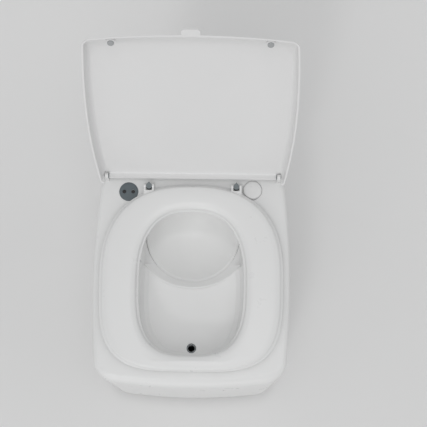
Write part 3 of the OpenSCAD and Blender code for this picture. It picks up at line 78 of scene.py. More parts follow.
# Deck's fittings
BUTTON = (125.0, 162.0)
BUTTON_HOLE_R = 20.2
GAP_SHIFT, GAP_DEPTH = 1.5, 2.5  # the button's gap widens to the front left, down to this depth
SENSOR = (-133.4, 156.0)
SENSOR_HOLE_R, SENSOR_SEAT_R, SENSOR_SINK = 17.2, 20.1, 1.2
WINDOW_X, WINDOW_R = 9.2, 4.1  # the sensor's two windows
DIMPLE_R, DIMPLE = 6.5, 0.6  # the hollows that the lid's bumpers rest in
DECK_SCREW_XS, DECK_SCREW_Z, DECK_SCREW_R = (-150, -60, 60, 150), 396, 2.05

# Seat
SEAT_Y0, SEAT_Y1, SEAT_A = -215.0, 166.0, 184.0  # front, rear and half width
HOLE_Y0, HOLE_Y1, HOLE_A = -184.0, 116.0, 112.0  # the same of its hole
SEAT_FULL, HOLE_FULL = (3.6, 2.5), (3.0, 2.5)  # fullness of both ovals to the front and rear
HOLE_MID = (HOLE_Y0 + HOLE_Y1) / 2
SEAT_LOW, SEAT_T = 434.0, 16.0
SEAT_AXIS_Z = 439
POST_X = 91.0
EAR_R, EAR_HALF, EAR_TOP, EAR_LENGTH = 5.5, 2, 444, 38
EAR_X = 8.6  # from a post's middle to the middle of each ear
WEB_HALF, WEB_BACK = 7.6, 9.2  # the block between a post's two ears

# Lid, as it lies when closed
AXIS_Y, AXIS_Z = 185.0, 450.0
REACH = 431.0  # from the axis to the front edge
TAIL, TAIL_R = 4, 5  # from the axis to the rear edge, and the rear corners' radius
LEAN = 23.5  # degrees past upright when open
LID_RIM, LID_H, LID_CROWN, LID_T = 433.0, 27.0, 4.0, 3.5
LID_IN_SIDE, LID_IN_FRONT, LID_IN_REAR = 12, 46, 5  # what the top is drawn in by
LID_CORNER, LID_CORNER_MORE = 16, 20  # front corners' radius at the rim, and more at the top
ARCH, ARCH_GAP = 7.0, 6  # rise of the front edge's middle, and from its ends to the bumpers
BRACKET_X, BRACKET_W, BRACKET_GAP = 182.0, 7.0, 1.6
BUMPER_X, BUMPER_Y, BUMPER_R = 142.0, -224.0, 6.0
BOSS_R = 8  # the bumpers' bosses
TAB_W, TAB_D, TAB_R, TAB_T, TAB_IN = 34, 16, 7, 3.5, 2

# Bowl insert
RIM = 6.0  # what its opening stands back by from the seat's hole
THROAT = RIM - 10  # the same lower down, where the divider ends
BOWL_Y, BOWL_Z = 88.0, 295.0
BOWL_AXIS = (0, BOWL_Y, BOWL_Z)
CHUTE_R, CHUTE_TOP, CHUTE_LOW = 106.0, 350.0, 272
LIP_R, LIP_Z, LIP_LOW = 102.6, BOWL_Z + 17, BOWL_Z + 12  # the lip above the bowl's rim
DIV_R, DIV_Y, DIV_Z, DIV_T = 134.0, -27.5, 322.0, 4.0  # the divider's arc, front, top and wall
DIV_MID = DIV_Y + DIV_R  # the Y of the arc's middle
SPLIT = BOWL_Y - CHUTE_R  # where the rear space begins
TRAY_Z, TRAY_SLOPE, TRAY_END = 317.0, 7.5, DIV_Y + 50
INSERT_T = 3.0
FLANGE_OUT, FLANGE_T, FLANGE_GAP = 14, 3, 0.05
BOSS_OUT, SHAFT_BOSS_R, BUSH_R = 12, 13, 8.05
DRAIN_Y = -157.0
DRAIN_Z = TRAY_Z - (DIV_Y - DRAIN_Y) * math.tan(math.radians(TRAY_SLOPE))
DRAIN_SINK = 1.2  # what the drain ring is let into the tray by
DRAIN_SEAT_R, DRAIN_BORE_R, DRAIN_BOSS_R, DRAIN_BOSS = 10.4, 8.75, 15, 9

# Turning bowl
BOWL_R, BOWL_DEPTH, BOWL_T = 97.0, 44.0, 4.0
BOWL_RIM = BOWL_Z + 10
HUB_R, HUB_IN, HUB_OUT = 9, 83, 105
SHAFT_R = 5.05

# Steps of the outlines
CORNER_STEPS, SIDE_STEPS, REAR_STEPS, FRONT_STEPS = 14, 26, 20, 30
HOLE_STEPS, COARSE_HOLE_STEPS = 240, 192

# Cuts
OVER = 5  # how far a cut reaches past a face
THROUGH = 8  # and below it, through a wall


def lerp(a, b, t):
    return a + (b - a) * t


def clamp(v, low, high):
    return max(low, min(high, v))


# Materials

def tree(name):
    m = bpy.data.materials.new(name)
    m.use_nodes = True
    return m, m.node_tree, m.node_tree.nodes["Principled BSDF"]


def coordinates(nt):
    return nt.nodes.new("ShaderNodeTexCoord").outputs["Object"]


def noise(nt, vector, scale, detail, roughness=0.5):
    n = nt.nodes.new("ShaderNodeTexNoise")
    n.inputs["Scale"].default_value = scale
    n.inputs["Detail"].default_value = detail
    n.inputs["Roughness"].default_value = roughness
    nt.links.new(vector, n.inputs["Vector"])
    return n.outputs["Fac"]


def tint(nt, shader, pattern, low, high, stops=(0.0, 1.0)):
    """Colours the surface from one tone to another by a pattern."""
    n = nt.nodes.new("ShaderNodeValToRGB")
    for end, stop, color in zip(n.color_ramp.elements, stops, (low, high)):
        end.position = stop
        end.color = (*color, 1)
    nt.links.new(pattern, n.inputs["Fac"])
    nt.links.new(n.outputs["Color"], shader.inputs["Base Color"])


def vary_gloss(nt, shader, pattern, low, high, span=(0.0, 1.0)):
    """Moves the roughness from low to high over a span of the pattern."""
    n = nt.nodes.new("ShaderNodeMapRange")
    n.inputs["From Min"].default_value = span[0]
    n.inputs["From Max"].default_value = span[1]
    n.inputs["To Min"].default_value = low
    n.inputs["To Max"].default_value = high
    nt.links.new(pattern, n.inputs["Value"])
    nt.links.new(n.outputs["Result"], shader.inputs["Roughness"])


def relief(nt, shader, pattern, strength, depth):
    """A bump of the given strength; the depth is in metres."""
    n = nt.nodes.new("ShaderNodeBump")
    n.inputs["Strength"].default_value = strength
    n.inputs["Distance"].default_value = depth
    nt.links.new(pattern, n.inputs["Height"])
    nt.links.new(n.outputs["Normal"], shader.inputs["Normal"])


def plastic(name, color, rough=0.3, bump=0.02, grain=900.0, spread=0.02, wear=0.0, spec=0.5):
    """A moulded plastic: slight cloudiness, faint scuffs in the gloss and fine surface grain."""
    m, nt, shader = tree(name)
    place_on = coordinates(nt)
    deep = [c * (1 - spread) for c in color]
    pale = [min(1.0, c * (1 + spread)) for c in color]
    clouds = noise(nt, place_on, scale=7.0, detail=3.0)
    tint(nt, shader, clouds, deep, pale, stops=(0.3, 0.7))
    scuffs = noise(nt, place_on, scale=26.0, detail=6.0, roughness=0.6)
    vary_gloss(nt, shader, scuffs, rough * 0.9, rough * 1.06 + wear, span=(0.3, 0.75))
    relief(nt, shader, noise(nt, place_on, scale=grain, detail=2.0), bump, depth=0.0004)
    shader.inputs["Specular IOR Level"].default_value = spec
    return m


def white(name, color, rough, spread=0.004):
    """A smooth white plastic, almost even in tone."""
    return plastic(name, color, rough=rough, bump=0.004, spread=spread)


def rubber(name, color, rough=0.62):
    return plastic(name, color, rough=rough, bump=0.25, grain=1400.0, spread=0.12, wear=0.08, spec=0.35)


def steel(name, color, rough=0.32):
    """Zinc-plated steel with fine drawn lines."""
    m, nt, shader = tree(name)
    stretch = nt.nodes.new("ShaderNodeMapping")
    stretch.inputs["Scale"].default_value = (1.0, 1.0, 14.0)
    nt.links.new(coordinates(nt), stretch.inputs["Vector"])
    lines = noise(nt, stretch.outputs["Vector"], scale=260.0, detail=4.0)
    tint(nt, shader, lines, [c * 0.86 for c in color], [min(1, c * 1.08) for c in color])
    vary_gloss(nt, shader, lines, rough * 0.8, rough * 1.3)
    relief(nt, shader, lines, strength=0.12, depth=0.0002)
    shader.inputs["Metallic"].default_value = 1.0
    return m


# The first nine are the part's material slots, the others are finishes of single pieces. The inner and
# bowl whites are painted lighter to make up for shade inside the well, and the drain bore's pale colour
# is a painted highlight.
MAT = {
    "white_plastic": white("gloss_white", (0.75, 0.75, 0.745), rough=0.3),
    # Painted light: the insert's white is made lighter than the deck's to make up for the shade inside
    # the well
    "inner_plastic": white("inner_white_painted_light", (0.9, 0.9, 0.895), rough=0.36, spread=0.006),
    "grey_plastic": plastic(
        "fine_grey", (0.102, 0.126, 0.138), rough=0.5, bump=0.12, grain=1500.0, spread=0.08, wear=0.05),
    "dark_plastic": plastic(
        "black_plastic", (0.022, 0.023, 0.026), rough=0.45, bump=0.12, grain=1200.0, spread=0.1,
        wear=0.06),
    "tank_plastic": plastic(
        "natural_tank", (0.56, 0.58, 0.56), rough=0.42, bump=0.05, grain=300.0, spread=0.04, wear=0.06),
    "gear_plastic": plastic("natural_resin", (0.66, 0.60, 0.44), rough=0.4, bump=0.04, spread=0.04),
    "rubber": rubber("dark_rubber", (0.05, 0.055, 0.06)),
    "steel": steel("zinc_steel", (0.56, 0.57, 0.58)),
    "board": plastic("green_board", (0.03, 0.12, 0.05), rough=0.35, bump=0.05, grain=600.0, spread=0.15),
    # Painted light: the turning bowl's white is brighter than the insert's to make up for the shade in
    # the deep dish
    "bowl_painted_light": white("bowl_painted_light", (0.98, 0.98, 0.975), rough=0.4),
    "lid_white": white("lid_white", (0.76, 0.757, 0.755), rough=0.32),
    "post_grey": plastic(
        "post_grey", (0.162, 0.184, 0.193), rough=0.5, bump=0.12, grain=1500.0, spread=0.08),
    "clear_rubber": rubber("clear_rubber", (0.36, 0.37, 0.375), rough=0.35),
    # Painted highlight: near white, for the drain's inner lip and the upper part of its bore
    "bore_painted_light": plastic("bore_painted_light", (0.86, 0.88, 0.89), rough=0.3, spread=0.05),
    "window": plastic("dark_window", (0.004, 0.004, 0.005), rough=0.3, bump=0.0, grain=600.0, spread=0.3),
}


# Meshes

def add_object(name, data):
    ob = bpy.data.objects.new(name, data)
    bpy.context.scene.collection.objects.link(ob)
    return ob


def piece(name, mesh, slot):
    """An object in a slot's material, with its faces turned outward."""
    ob = add_object(name, mesh)
    mesh.materials.append(MAT[slot])
    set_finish(ob, slot)
    bm = bmesh.new()
    bm.from_mesh(mesh)
    bmesh.ops.recalc_face_normals(bm, faces=bm.faces)
    bm.to_mesh(mesh)
    bm.free()
    return ob


def make(name, verts, faces, slot):
    """A piece from points in millimetres."""
    mesh = bpy.data.meshes.new(name)
    mesh.from_pydata([(x * MM, y * MM, z * MM) for x, y, z in verts], [], faces)
    mesh.validate()
    return piece(name, mesh, slot)


def loft(name, rings, slot="white_plastic"):
    """A closed skin over rings of equally many points, with flat ends."""
    n = len(rings[0])
    top = (len(rings) - 1) * n
    faces = []
    for low in range(0, top, n):
        for i in range(n):
            j = (i + 1) % n
            faces.append((low + i, low + j, low + n + j, low + n + i))
    faces.append(tuple(range(n - 1, -1, -1)))
    faces.append(tuple(range(top, top + n)))
    return make(name, [p for ring in rings for p in ring], faces, slot)


def prism(name, points, z0, z1, slot="white_plastic"):
    return loft(name, [[(x, y, z) for x, y in points] for z in (z0, z1)], slot)


def revolve(name, profile, centre, axis="Z", slot="white_plastic", n=96):
    """Turns a list of (radius, height) round an axis; points on the axis are joined to one."""
    on_axis = 1e-6
    verts, faces, rows = [], [], []
    for r, h in profile:
        if r < on_axis:
            rows.append([len(verts)] * n)
            verts.append((0.0, 0.0, h))
        else:
            rows.append(list(range(len(verts), len(verts) + n)))
            for i in range(n):
                a = 2 * math.pi * i / n
                verts.append((r * math.cos(a), r * math.sin(a), h))
    if min(profile[0][0], profile[-1][0]) > on_axis:
        rows.append(rows[0])
    for a, b in zip(rows, rows[1:]):
        for i in range(n):
            j = (i + 1) % n
            corners = tuple(dict.fromkeys((a[i], a[j], b[j], b[i])))
            if len(corners) > 2:
                faces.append(corners)
    cx, cy, cz = centre
    if axis == "Z":
        verts = [(cx + x, cy + y, cz + z) for x, y, z in verts]
    elif axis == "X":
        verts = [(cx + z, cy + x, cz + y) for x, y, z in verts]
    else:
        verts = [(cx + x, cy + z, cz - y) for x, y, z in verts]
    return make(name, verts, faces, slot)


def cyl(name, r, h0, h1, centre, axis="Z", n=96, slot="white_plastic"):
    return revolve(name, [(0, h0), (r, h0), (r, h1), (0, h1)], centre, axis, slot, n)


def box_piece(name, lo, hi, slot="white_plastic"):
    x0, y0, z0 = lo
    x1, y1, z1 = hi
    verts = [(x, y, z) for z in (z0, z1) for x, y in ((x0, y0), (x1, y0), (x1, y1), (x0, y1))]
    faces = [(0, 3, 2, 1), (4, 5, 6, 7), (0, 1, 5, 4), (1, 2, 6, 5), (2, 3, 7, 6), (3, 0, 4, 7)]
    return make(name, verts, faces, slot)


def hull_mesh(name, loops, slot="inner_plastic"):
    """The convex hull of some outlines."""
    bm = bmesh.new()
    verts = [bm.verts.new((x * MM, y * MM, z * MM)) for loop in loops for x, y, z in loop]
    hull = bmesh.ops.convex_hull(bm, input=verts)
    spare = {g for g in hull["geom_interior"] + hull["geom_unused"] if isinstance(g, bmesh.types.BMVert)}
    bmesh.ops.delete(bm, geom=list(spare), context="VERTS")
    mesh = bpy.data.meshes.new(name)
    bm.to_mesh(mesh)
    bm.free()
    return piece(name, mesh, slot)


def apply_all(ob):
    """Turns an object's modifiers into mesh."""
    dg = bpy.context.evaluated_depsgraph_get()
    dg.update()
    mesh = bpy.data.meshes.new_from_object(ob.evaluated_get(dg))
    ob.modifiers.clear()
    ob.data = mesh


def boolean(ob, other, op="DIFFERENCE", keep=False):
    m = ob.modifiers.new("b", "BOOLEAN")
    m.operation = op
    m.solver = "MANIFOLD"
    m.object = other
    apply_all(ob)
    if not keep:
        bpy.data.objects.remove(other)
    return ob


def join(obs, name):
    """Puts pieces of one slot into one object."""
    bm = bmesh.new()
    for o in obs:
        bm.from_mesh(o.data)
    mesh = bpy.data.meshes.new(name)
    bm.to_mesh(mesh)
    bm.free()
    ob = add_object(name, mesh)
    mesh.materials.append(obs[0].data.materials[0])
    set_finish(ob, obs[0]["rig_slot"])
    for o in obs:
        bpy.data.objects.remove(o)
    return ob


def bevel_edges(ob, width, segments, angle):
    m = ob.modifiers.new("bevel", "BEVEL")
    m.width = width * MM
    m.segments = segments
    m.limit_method = "ANGLE"
    m.angle_limit = math.radians(angle)
    m.use_clamp_overlap = True
    return m


def polish(ob, bevel=0.5, angle=32.0, segments=3, limit=None):
    """Rounds the crisp edges and shades the rest smooth."""
    for p in ob.data.polygons:
        p.use_smooth = True
    if bevel:
        m = bevel_edges(ob, bevel, segments, limit or angle)
        m.harden_normals = True
        m.miter_outer = "MITER_ARC"
    w = ob.modifiers.new("normals", "WEIGHTED_NORMAL")
    w.keep_sharp = True
    w.weight = 60
    ob.data.set_sharp_from_angle(angle=math.radians(angle))
    apply_all(ob)
    return ob


def look(ob, name):
    """Gives a piece a finish of its own; its slot stays that of its node."""
    ob.data.materials.clear()
    ob.data.materials.append(MAT[name])
    return ob


def place(ob, body, *nodes):
    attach(ob, body)
    if nodes:
        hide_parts(*nodes)
    return ob


def sided(s, near, far):
    """The X limits, in rising order, of a stretch on side s."""
    return sorted((s * near, s * far))


# Outlines

def circle(r, cx, cy, n=160):
    turns = [2 * math.pi * i / n for i in range(n)]
    return [(cx + r * math.cos(a), cy + r * math.sin(a)) for a in turns]


def half_w(y):
    return BODY_W / 2 - (FRONT_BOW if y < WAIST else REAR_BOW) * ((y - WAIST) / SPAN) ** 2


def bend(x, y):
    """Moves a point of a straight-sided outline onto the body's bowed one."""
    share = clamp((WAIST - y) / (WAIST - FRONT), 0, 1)
    return x * half_w(y) / (BODY_W / 2), y + CROWN * (x / (BODY_W / 2)) ** 2 * share


def run(x0, y0, x1, y1, steps):
    """The inner points of a straight stretch."""
    return [(lerp(x0, x1, i / steps), lerp(y0, y1, i / steps)) for i in range(1, steps)]


def corner(cx, cy, radii, start):
    """A quarter turn round a centre, from start degrees on."""
    turns = [math.radians(start + 90 * i / CORNER_STEPS) for i in range(CORNER_STEPS + 1)]
    return [(cx + radii[0] * math.cos(a), cy + radii[1] * math.sin(a)) for a in turns]


def outline(w, yf, yr, rf, rr):
    """A rounded rectangle of half width w: right side, rear, left side, front."""
    xf, xr = w - rf[0], w - rr[0]
    low, high = yf + rf[1], yr - rr[1]
    return (run(w, low, w, high, SIDE_STEPS) + corner(xr, high, rr, 0)
            + run(xr, yr, -xr, yr, REAR_STEPS) + corner(-xr, high, rr, 90)
            + run(-w, high, -w, low, SIDE_STEPS) + corner(-xf, low, rf, 180)
            + run(-xf, yf, xf, yf, FRONT_STEPS) + corner(xf, low, rf, 270))


def shares():
    """How far each point of an outline belongs to the front and to the rear, from 0 to 1."""
    rise = [math.sin(math.radians(90 * i / CORNER_STEPS)) ** 2 for i in range(CORNER_STEPS + 1)]
    fall = [1 - v for v in rise]
    side, none = [0.0] * (SIDE_STEPS - 1), [0.0] * (CORNER_STEPS + 1)
    rear, front = REAR_STEPS - 1, FRONT_STEPS - 1
    to_front = side + none + [0.0] * rear + none + side + rise + [1.0] * front + fall
    to_rear = side + rise + [1.0] * rear + fall + side + none + [0.0] * front + none
    return to_front, to_rear


F_SHARE, R_SHARE = shares()


def mix3(values, i):
    """Blends the side, front and rear value at point i of an outline."""
    side, front, rear = values
    return side + (front - side) * F_SHARE[i] + (rear - side) * R_SHARE[i]


def body_ring(inset, z):
    """The body's outline drawn in by (side, front, rear), at one height or one for each."""
    side, front, rear = inset
    rf = (max(CORNER_F - side, 1), max(CORNER_F - front, 1))
    rr = (max(CORNER_R - side, 1), max(CORNER_R - rear, 1))
    flat = outline(BODY_W / 2 - side, FRONT + front, REAR - rear, rf, rr)
    heights = z if isinstance(z, tuple) else (z, z, z)
    return [(*bend(*p), mix3(heights, i)) for i, p in enumerate(flat)]


def grown(inset, d):
    return tuple(v + d for v in inset)


def egg(a, yc, bf, br, nf, nr, deg):
    """A point of an oval with half width a and its own length and fullness to front and rear."""
    c, s = math.cos(math.radians(deg)), math.sin(math.radians(deg))
    b, n = (bf, nf) if s < 0 else (br, nr)
    r = ((abs(c) / a) ** n + (abs(s) / b) ** n) ** (-1 / n)
    return r * c, yc + r * s


def seat_outer(deg):
    yc = (SEAT_Y0 + SEAT_Y1) / 2
    return egg(SEAT_A, yc, yc - SEAT_Y0, SEAT_Y1 - yc, *SEAT_FULL, deg)


def hole(grow, deg):
    front, rear = HOLE_MID - HOLE_Y0 + grow, HOLE_Y1 - HOLE_MID + grow
    return egg(HOLE_A + grow, HOLE_MID, front, rear, *HOLE_FULL, deg)


def hole_points(grow, n=HOLE_STEPS):
    return [hole(grow, 360 * i / n) for i in range(n)]


def inside_hole(p, grow):
    ahead = p[1] < HOLE_MID
    b = (HOLE_MID - HOLE_Y0 if ahead else HOLE_Y1 - HOLE_MID) + grow
    n = HOLE_FULL[0 if ahead else 1]
    return (abs(p[0]) / (HOLE_A + grow)) ** n + (abs(p[1] - HOLE_MID) / b) ** n <= 1


def rounded_rect(w, h, r, cy=0.0, n=10):
    points = []
    for q, (sx, sy) in enumerate(((1, 1), (-1, 1), (-1, -1), (1, -1))):
        for i in range(n + 1):
            a = math.radians(90 * q + 90 * i / n)
            points.append((sx * (w / 2 - r) + r * math.cos(a), cy + sy * (h / 2 - r) + r * math.sin(a)))
    return points


def catmull(points, per):
    """A closed smooth curve through points of any size."""
    def between(a, b, c, d, t):
        square = 2 * a - 5 * b + 4 * c - d
        cube = 3 * b - a - 3 * c + d
        return 0.5 * (2 * b + (c - a) * t + square * t * t + cube * t ** 3)

    n, out = len(points), []
    for i in range(n):
        near = [points[(i + k) % n] for k in (-1, 0, 1, 2)]
        for k in range(per):
            out.append(tuple(between(*values, k / per) for values in zip(*near)))
    return out


def clip_poly(points, keeps):
    """The part of a convex outline that a test keeps, cut at the border by halving."""
    halvings = 24
    out = []
    for a, b in zip(points, points[1:] + points[:1]):
        if keeps(a):
            out.append(a)
        if keeps(a) != keeps(b):
            kept, lost = (a, b) if keeps(a) else (b, a)
            for _ in range(halvings):
                mid = ((kept[0] + lost[0]) / 2, (kept[1] + lost[1]) / 2)
                if keeps(mid):
                    kept = mid
                else:
                    lost = mid
            out.append(kept)
    return out


# The camera, as solved from the outlines in the photograph

CAMERA_TILT = 78.0  # degrees below the horizon
CAMERA_ROLL = 0.7  # degrees
CAMERA_X, AIM_Y = 44.0, 111.5  # the point of the deck at the picture's middle
CAMERA_AWAY = 2326.0  # millimetres from that point
FOCAL_PX, PHOTO_PX = 1118.0, 427  # focal length and the photograph's width, in its pixels
FILM_W = 36.0


def photo_camera():
    tilt, roll = math.radians(CAMERA_TILT), math.radians(CAMERA_ROLL)
    ahead = Vector((0, math.cos(tilt), -math.sin(tilt)))
    up = Vector((0, math.sin(tilt), math.cos(tilt)))
    right = Vector((1, 0, 0))
    turned_right = right * math.cos(roll) + up * math.sin(roll)
    turned_up = up * math.cos(roll) - right * math.sin(roll)
    cam = bpy.data.cameras.new("camera")
    ob = add_object("camera", cam)
    m = Matrix((turned_right, turned_up, -ahead)).transposed().to_4x4()
    m.translation = (Vector((CAMERA_X, AIM_Y, DECK)) - ahead * CAMERA_AWAY) * MM
    ob.matrix_world = m
    cam.sensor_fit = "HORIZONTAL"
    cam.sensor_width = FILM_W
    cam.lens = FOCAL_PX / PHOTO_PX * FILM_W
    cam.clip_start, cam.clip_end = 0.05, 50
    bpy.context.scene.camera = ob


# Deck and casing

def deck_rings(grow, low, steps=18):
    rings = [body_ring(grown((0, 0, 0), grow), low)]
    for k in range(steps + 1):
        a = math.radians(90 * k / steps)
        inward, rise = 1 - math.cos(a), 1 - math.sin(a)
        heights = tuple(DECK - grow - r * rise for r in (SIDE_R, FRONT_R, REAR_R))
        inset = tuple(r * inward for r in (SIDE_R, FRONT_R, REAR_R))
        rings.append(body_ring(grown(inset, grow), heights))
    return rings


def build_deck():
    deck = loft("deck_shell", deck_rings(0, SEAM + SEAM_GAP))
    boolean(deck, loft("cut", deck_rings(WALL, SEAM - 1)))
    boolean(deck, prism("cut", hole_points(RIM, COARSE_HOLE_STEPS), DECK - THROUGH, DECK + OVER))
    boolean(deck, cyl("cut", BUTTON_HOLE_R, DECK - THROUGH, DECK + OVER, (*BUTTON, 0)))
    shifted = (BUTTON[0] - GAP_SHIFT, BUTTON[1] - GAP_SHIFT, 0)
    boolean(deck, cyl("cut", BUTTON_HOLE_R, DECK - GAP_DEPTH, DECK + OVER, shifted))
    boolean(deck, cyl("cut", SENSOR_HOLE_R, DECK - THROUGH, DECK + OVER, (*SENSOR, 0)))
    boolean(deck, cyl("cut", SENSOR_SEAT_R, DECK - SENSOR_SINK, DECK + OVER, (*SENSOR, 0)))
    for s in (-1, 1):
        boolean(deck, cyl("cut", DIMPLE_R, DECK - DIMPLE, DECK + OVER, (s * BUMPER_X, BUMPER_Y, 0), n=48))
    for x in DECK_SCREW_XS:
        where = (x, 0, DECK_SCREW_Z)
        boolean(deck, cyl("cut", DECK_SCREW_R, REAR - THROUGH, REAR + OVER, where, axis="Y", n=32))
    polish(deck, bevel=0.8, angle=30)
    return place(deck, "body", "top_deck")


def casing_inset(z):
    return TAPER * (SEAM - z) / (SEAM - BASE), 0.0, 0.0


def casing_rings(edge_steps=8, wall_steps=12):
    """The outlines from the rounded lower edge up to the seam."""
    rings = []
    for k in range(edge_steps, -1, -1):
        a = math.radians(90 * k / edge_steps)
        z = BASE + EDGE * (1 - math.sin(a))
        rings.append(body_ring(grown(casing_inset(z), EDGE * (1 - math.cos(a))), z))
    for k in range(1, wall_steps + 1):
        z = lerp(BASE + EDGE, SEAM - SEAM_GAP, k / wall_steps)
        rings.append(body_ring(casing_inset(z), z))
    return rings


def build_casing():
    casing = loft("casing_shell", casing_rings())
    hollow = [
        body_ring(grown(casing_inset(BASE), WALL + EDGE), BASE - 1),
        body_ring(grown(casing_inset(BASE + EDGE), WALL), BASE + EDGE),
        body_ring(grown((0, 0, 0), WALL), SEAM + 1),
    ]
    boolean(casing, loft("cut", hollow))
    boolean(casing, box_piece("cut", (-PANEL_X, REAR - 12, PANEL_LOW), (PANEL_X, REAR + 1, PANEL_HIGH)))
    polish(casing, bevel=0.7, angle=30)
    return place(casing, "body", "outer_casing")


# Seat

# Round the ring's section: measured from the outer edge or the inner, how far in, share of the height
SECTION = [
    (True, 3, 0), (True, 0.6, 0.12), (True, 0, 0.38), (True, 0.8, 0.68), (True, 4, 0.91),
    (True, 10, 0.98), (True, 20, 1), (False, 22, 0.995), (False, 10, 0.96), (False, 3, 0.82),
    (False, 0, 0.48), (False, 1, 0.14), (False, 4, 0),
]


def seat_section(deg):
    ox, oy = seat_outer(deg)
    ix, iy = hole(0, deg)
    d = math.hypot(ix - ox, iy - oy)
    ux, uy = (ix - ox) / d, (iy - oy) / d
    flat = [(a if outer else d - a, SEAT_LOW + SEAT_T * h) for outer, a, h in SECTION]
    curve = catmull(flat[1:-1], 4)
    # The curve's last stretch closes across the flat underside
    curve = [p for p in curve if p[1] >= SEAT_LOW]
    return [(ox + ux * s, oy + uy * s, min(z, SEAT_LOW + SEAT_T)) for s, z in curve]


def seat_ring(slices=160):
    rings = [seat_section(360 * k / slices) for k in range(slices)]
    n = min(len(r) for r in rings)
    faces = []
    for k in range(slices):
        here, after = k * n, (k + 1) % slices * n
        for i in range(n):
            j = (i + 1) % n
            faces.append((here + i, here + j, after + j, after + i))
    return make("seat_ring", [p for r in rings for p in r[:n]], faces, "white_plastic")


def build_seat():
    ring = seat_ring()
    front = SEAT_Y1 - EAR_LENGTH
    for s in (-1, 1):
        low = (s * POST_X - WEB_HALF, front, SEAT_LOW)
        high = (s * POST_X + WEB_HALF, SEAT_Y1 - WEB_BACK, EAR_TOP)
        boolean(ring, box_piece("web", low, high), "UNION")
        for e in (-1, 1):
            x0, x1 = (s * POST_X + e * EAR_X + side * EAR_HALF for side in (-1, 1))
            ear = cyl("ear", EAR_R, x0, x1, (0, SEAT_Y1, SEAT_AXIS_Z), axis="X", n=64)
            boolean(ring, ear, "UNION")
            boolean(ring, box_piece("ear", (x0, front, SEAT_LOW), (x1, SEAT_Y1, EAR_TOP)), "UNION")
    polish(ring, bevel=0.5, angle=34)
    return place(ring, "seat_body", "seat")


# Lid

def opened(ob):
    """Turns a piece of the closed lid to where it stands open."""
    axis = Matrix.Translation((0, AXIS_Y * MM, AXIS_Z * MM))
    back = Matrix.Translation((0, -AXIS_Y * MM, -AXIS_Z * MM))
    ob.data.transform(axis @ Matrix.Rotation(math.radians(-90 - LEAN), 4, "X") @ back)
    ob.data.update()
    return ob


def lid_ring(t, skin):
    """The lid's outline from its rim (t = 0) to its top (t = 1), drawn in by a skin."""
    side_in, front_in, rear_in = (share * t + skin for share in (LID_IN_SIDE, LID_IN_FRONT, LID_IN_REAR))
    r = LID_CORNER + LID_CORNER_MORE * t - skin
    front_y, rear_y = AXIS_Y - REACH + front_in, AXIS_Y + TAIL - rear_in
    flat = outline(BODY_W / 2 - side_in, front_y, rear_y, (r, r), (TAIL_R, TAIL_R))
    side = math.sqrt(max(0, 1 - (1 - t) ** 2))
    front = math.sin(math.radians(90 * t))
    rise = [(LID_H - skin) * mix3((side, front, side), i) for i in range(len(flat))]
    return [(*bend(*p), LID_RIM + h) for p, h in zip(flat, rise)]


def crown_ring(t, skin):
    """The top's outline drawn toward its middle by the share t, on the lid's slight crown."""
    mid = (AXIS_Y - REACH + AXIS_Y + TAIL) / 2
    z = LID_RIM + LID_H - skin + LID_CROWN * (1 - (1 - t) ** 2)
    return [(x * (1 - t), lerp(y, mid, t), z) for x, y, _ in lid_ring(1, skin)]


def lid_solid(skin, steps=20):
    rings = []
    if skin > 0:
        rings.append([(x, y, LID_RIM - 2) for x, y, _ in lid_ring(0, skin)])
    rings += [lid_ring(1 - math.cos(math.radians(90 * k / steps)), skin) for k in range(steps + 1)]
    rings += [crown_ring(t, skin) for t in (0.05, 0.12, 0.2, 0.3, 0.42, 0.55, 0.68, 0.8, 0.9, 0.97)]
    return loft("lid_shell", rings)


def cut_hinge(lid):
    """Opens the rear wall between the brackets, and a pocket for each of them."""
    wx = BRACKET_X - BRACKET_W - BRACKET_GAP
    top = LID_RIM + LID_H - LID_T
    below, behind = LID_RIM - 1, AXIS_Y + TAIL + 1
    boolean(lid, box_piece("cut", (-wx, AXIS_Y + TAIL - 9, below), (wx, behind, top - 10)))
    for s in (-1, 1):
        x0, x1 = sided(s, wx, BRACKET_X + 1)
        boolean(lid, box_piece("cut", (x0, AXIS_Y - 10, below), (x1, behind, top + 0.1)))


def build_lid():
    front = AXIS_Y - REACH
    boss_in, boss_skin = 0.5, 0.6
    half = BUMPER_X - BUMPER_R - ARCH_GAP
    arch_r = (half ** 2 + ARCH ** 2) / (2 * ARCH)
    lid = lid_solid(0)
    boolean(lid, lid_solid(LID_T))
    arch_mid = (0, 0, LID_RIM + ARCH - arch_r)
    boolean(lid, cyl("cut", arch_r, front - 20, front + 30, arch_mid, axis="Y", n=720))
    cut_hinge(lid)
    for s in (-1, 1):
        boss = cyl("boss", BOSS_R, LID_RIM + boss_in, LID_RIM + 26, (s * BUMPER_X, BUMPER_Y, 0), n=64)
        boolean(boss, lid_solid(boss_skin), "INTERSECT")
        boolean(lid, boss, "UNION")
    tab = rounded_rect(TAB_W, TAB_D, TAB_R, front + TAB_IN)
    boolean(lid, prism("tab", tab, LID_RIM + ARCH, LID_RIM + ARCH + TAB_T), "UNION")
    polish(lid, bevel=0.6, angle=30)
    opened(lid)
    look(lid, "lid_white")
    return place(lid, "lid_body", "lid")


def build_bumpers():
    low, high = DECK + 0.4, LID_RIM + 0.5
    stem_r, stem = 3.0, 4
    profile = [
        (0, low), (4.2, low), (5.3, low + 0.3), (5.9, low + 1.0), (BUMPER_R, high),
        (stem_r, high), (stem_r, high + stem), (0, high + stem),
    ]
    places = [(s * BUMPER_X, BUMPER_Y, 0) for s in (-1, 1)]
    bumpers = join([revolve("bumper", profile, p, slot="rubber", n=64) for p in places], "lid_rubbers")
    polish(bumpers, bevel=0.15, angle=50)
    opened(bumpers)
    look(bumpers, "clear_rubber")
    return place(bumpers, "lid_body", "lid_bumpers")


# Bowl insert

def on_disc(reach):
    """A test for points within reach of the divider's middle."""
    return lambda p: math.hypot(p[0], p[1] - DIV_MID) <= reach


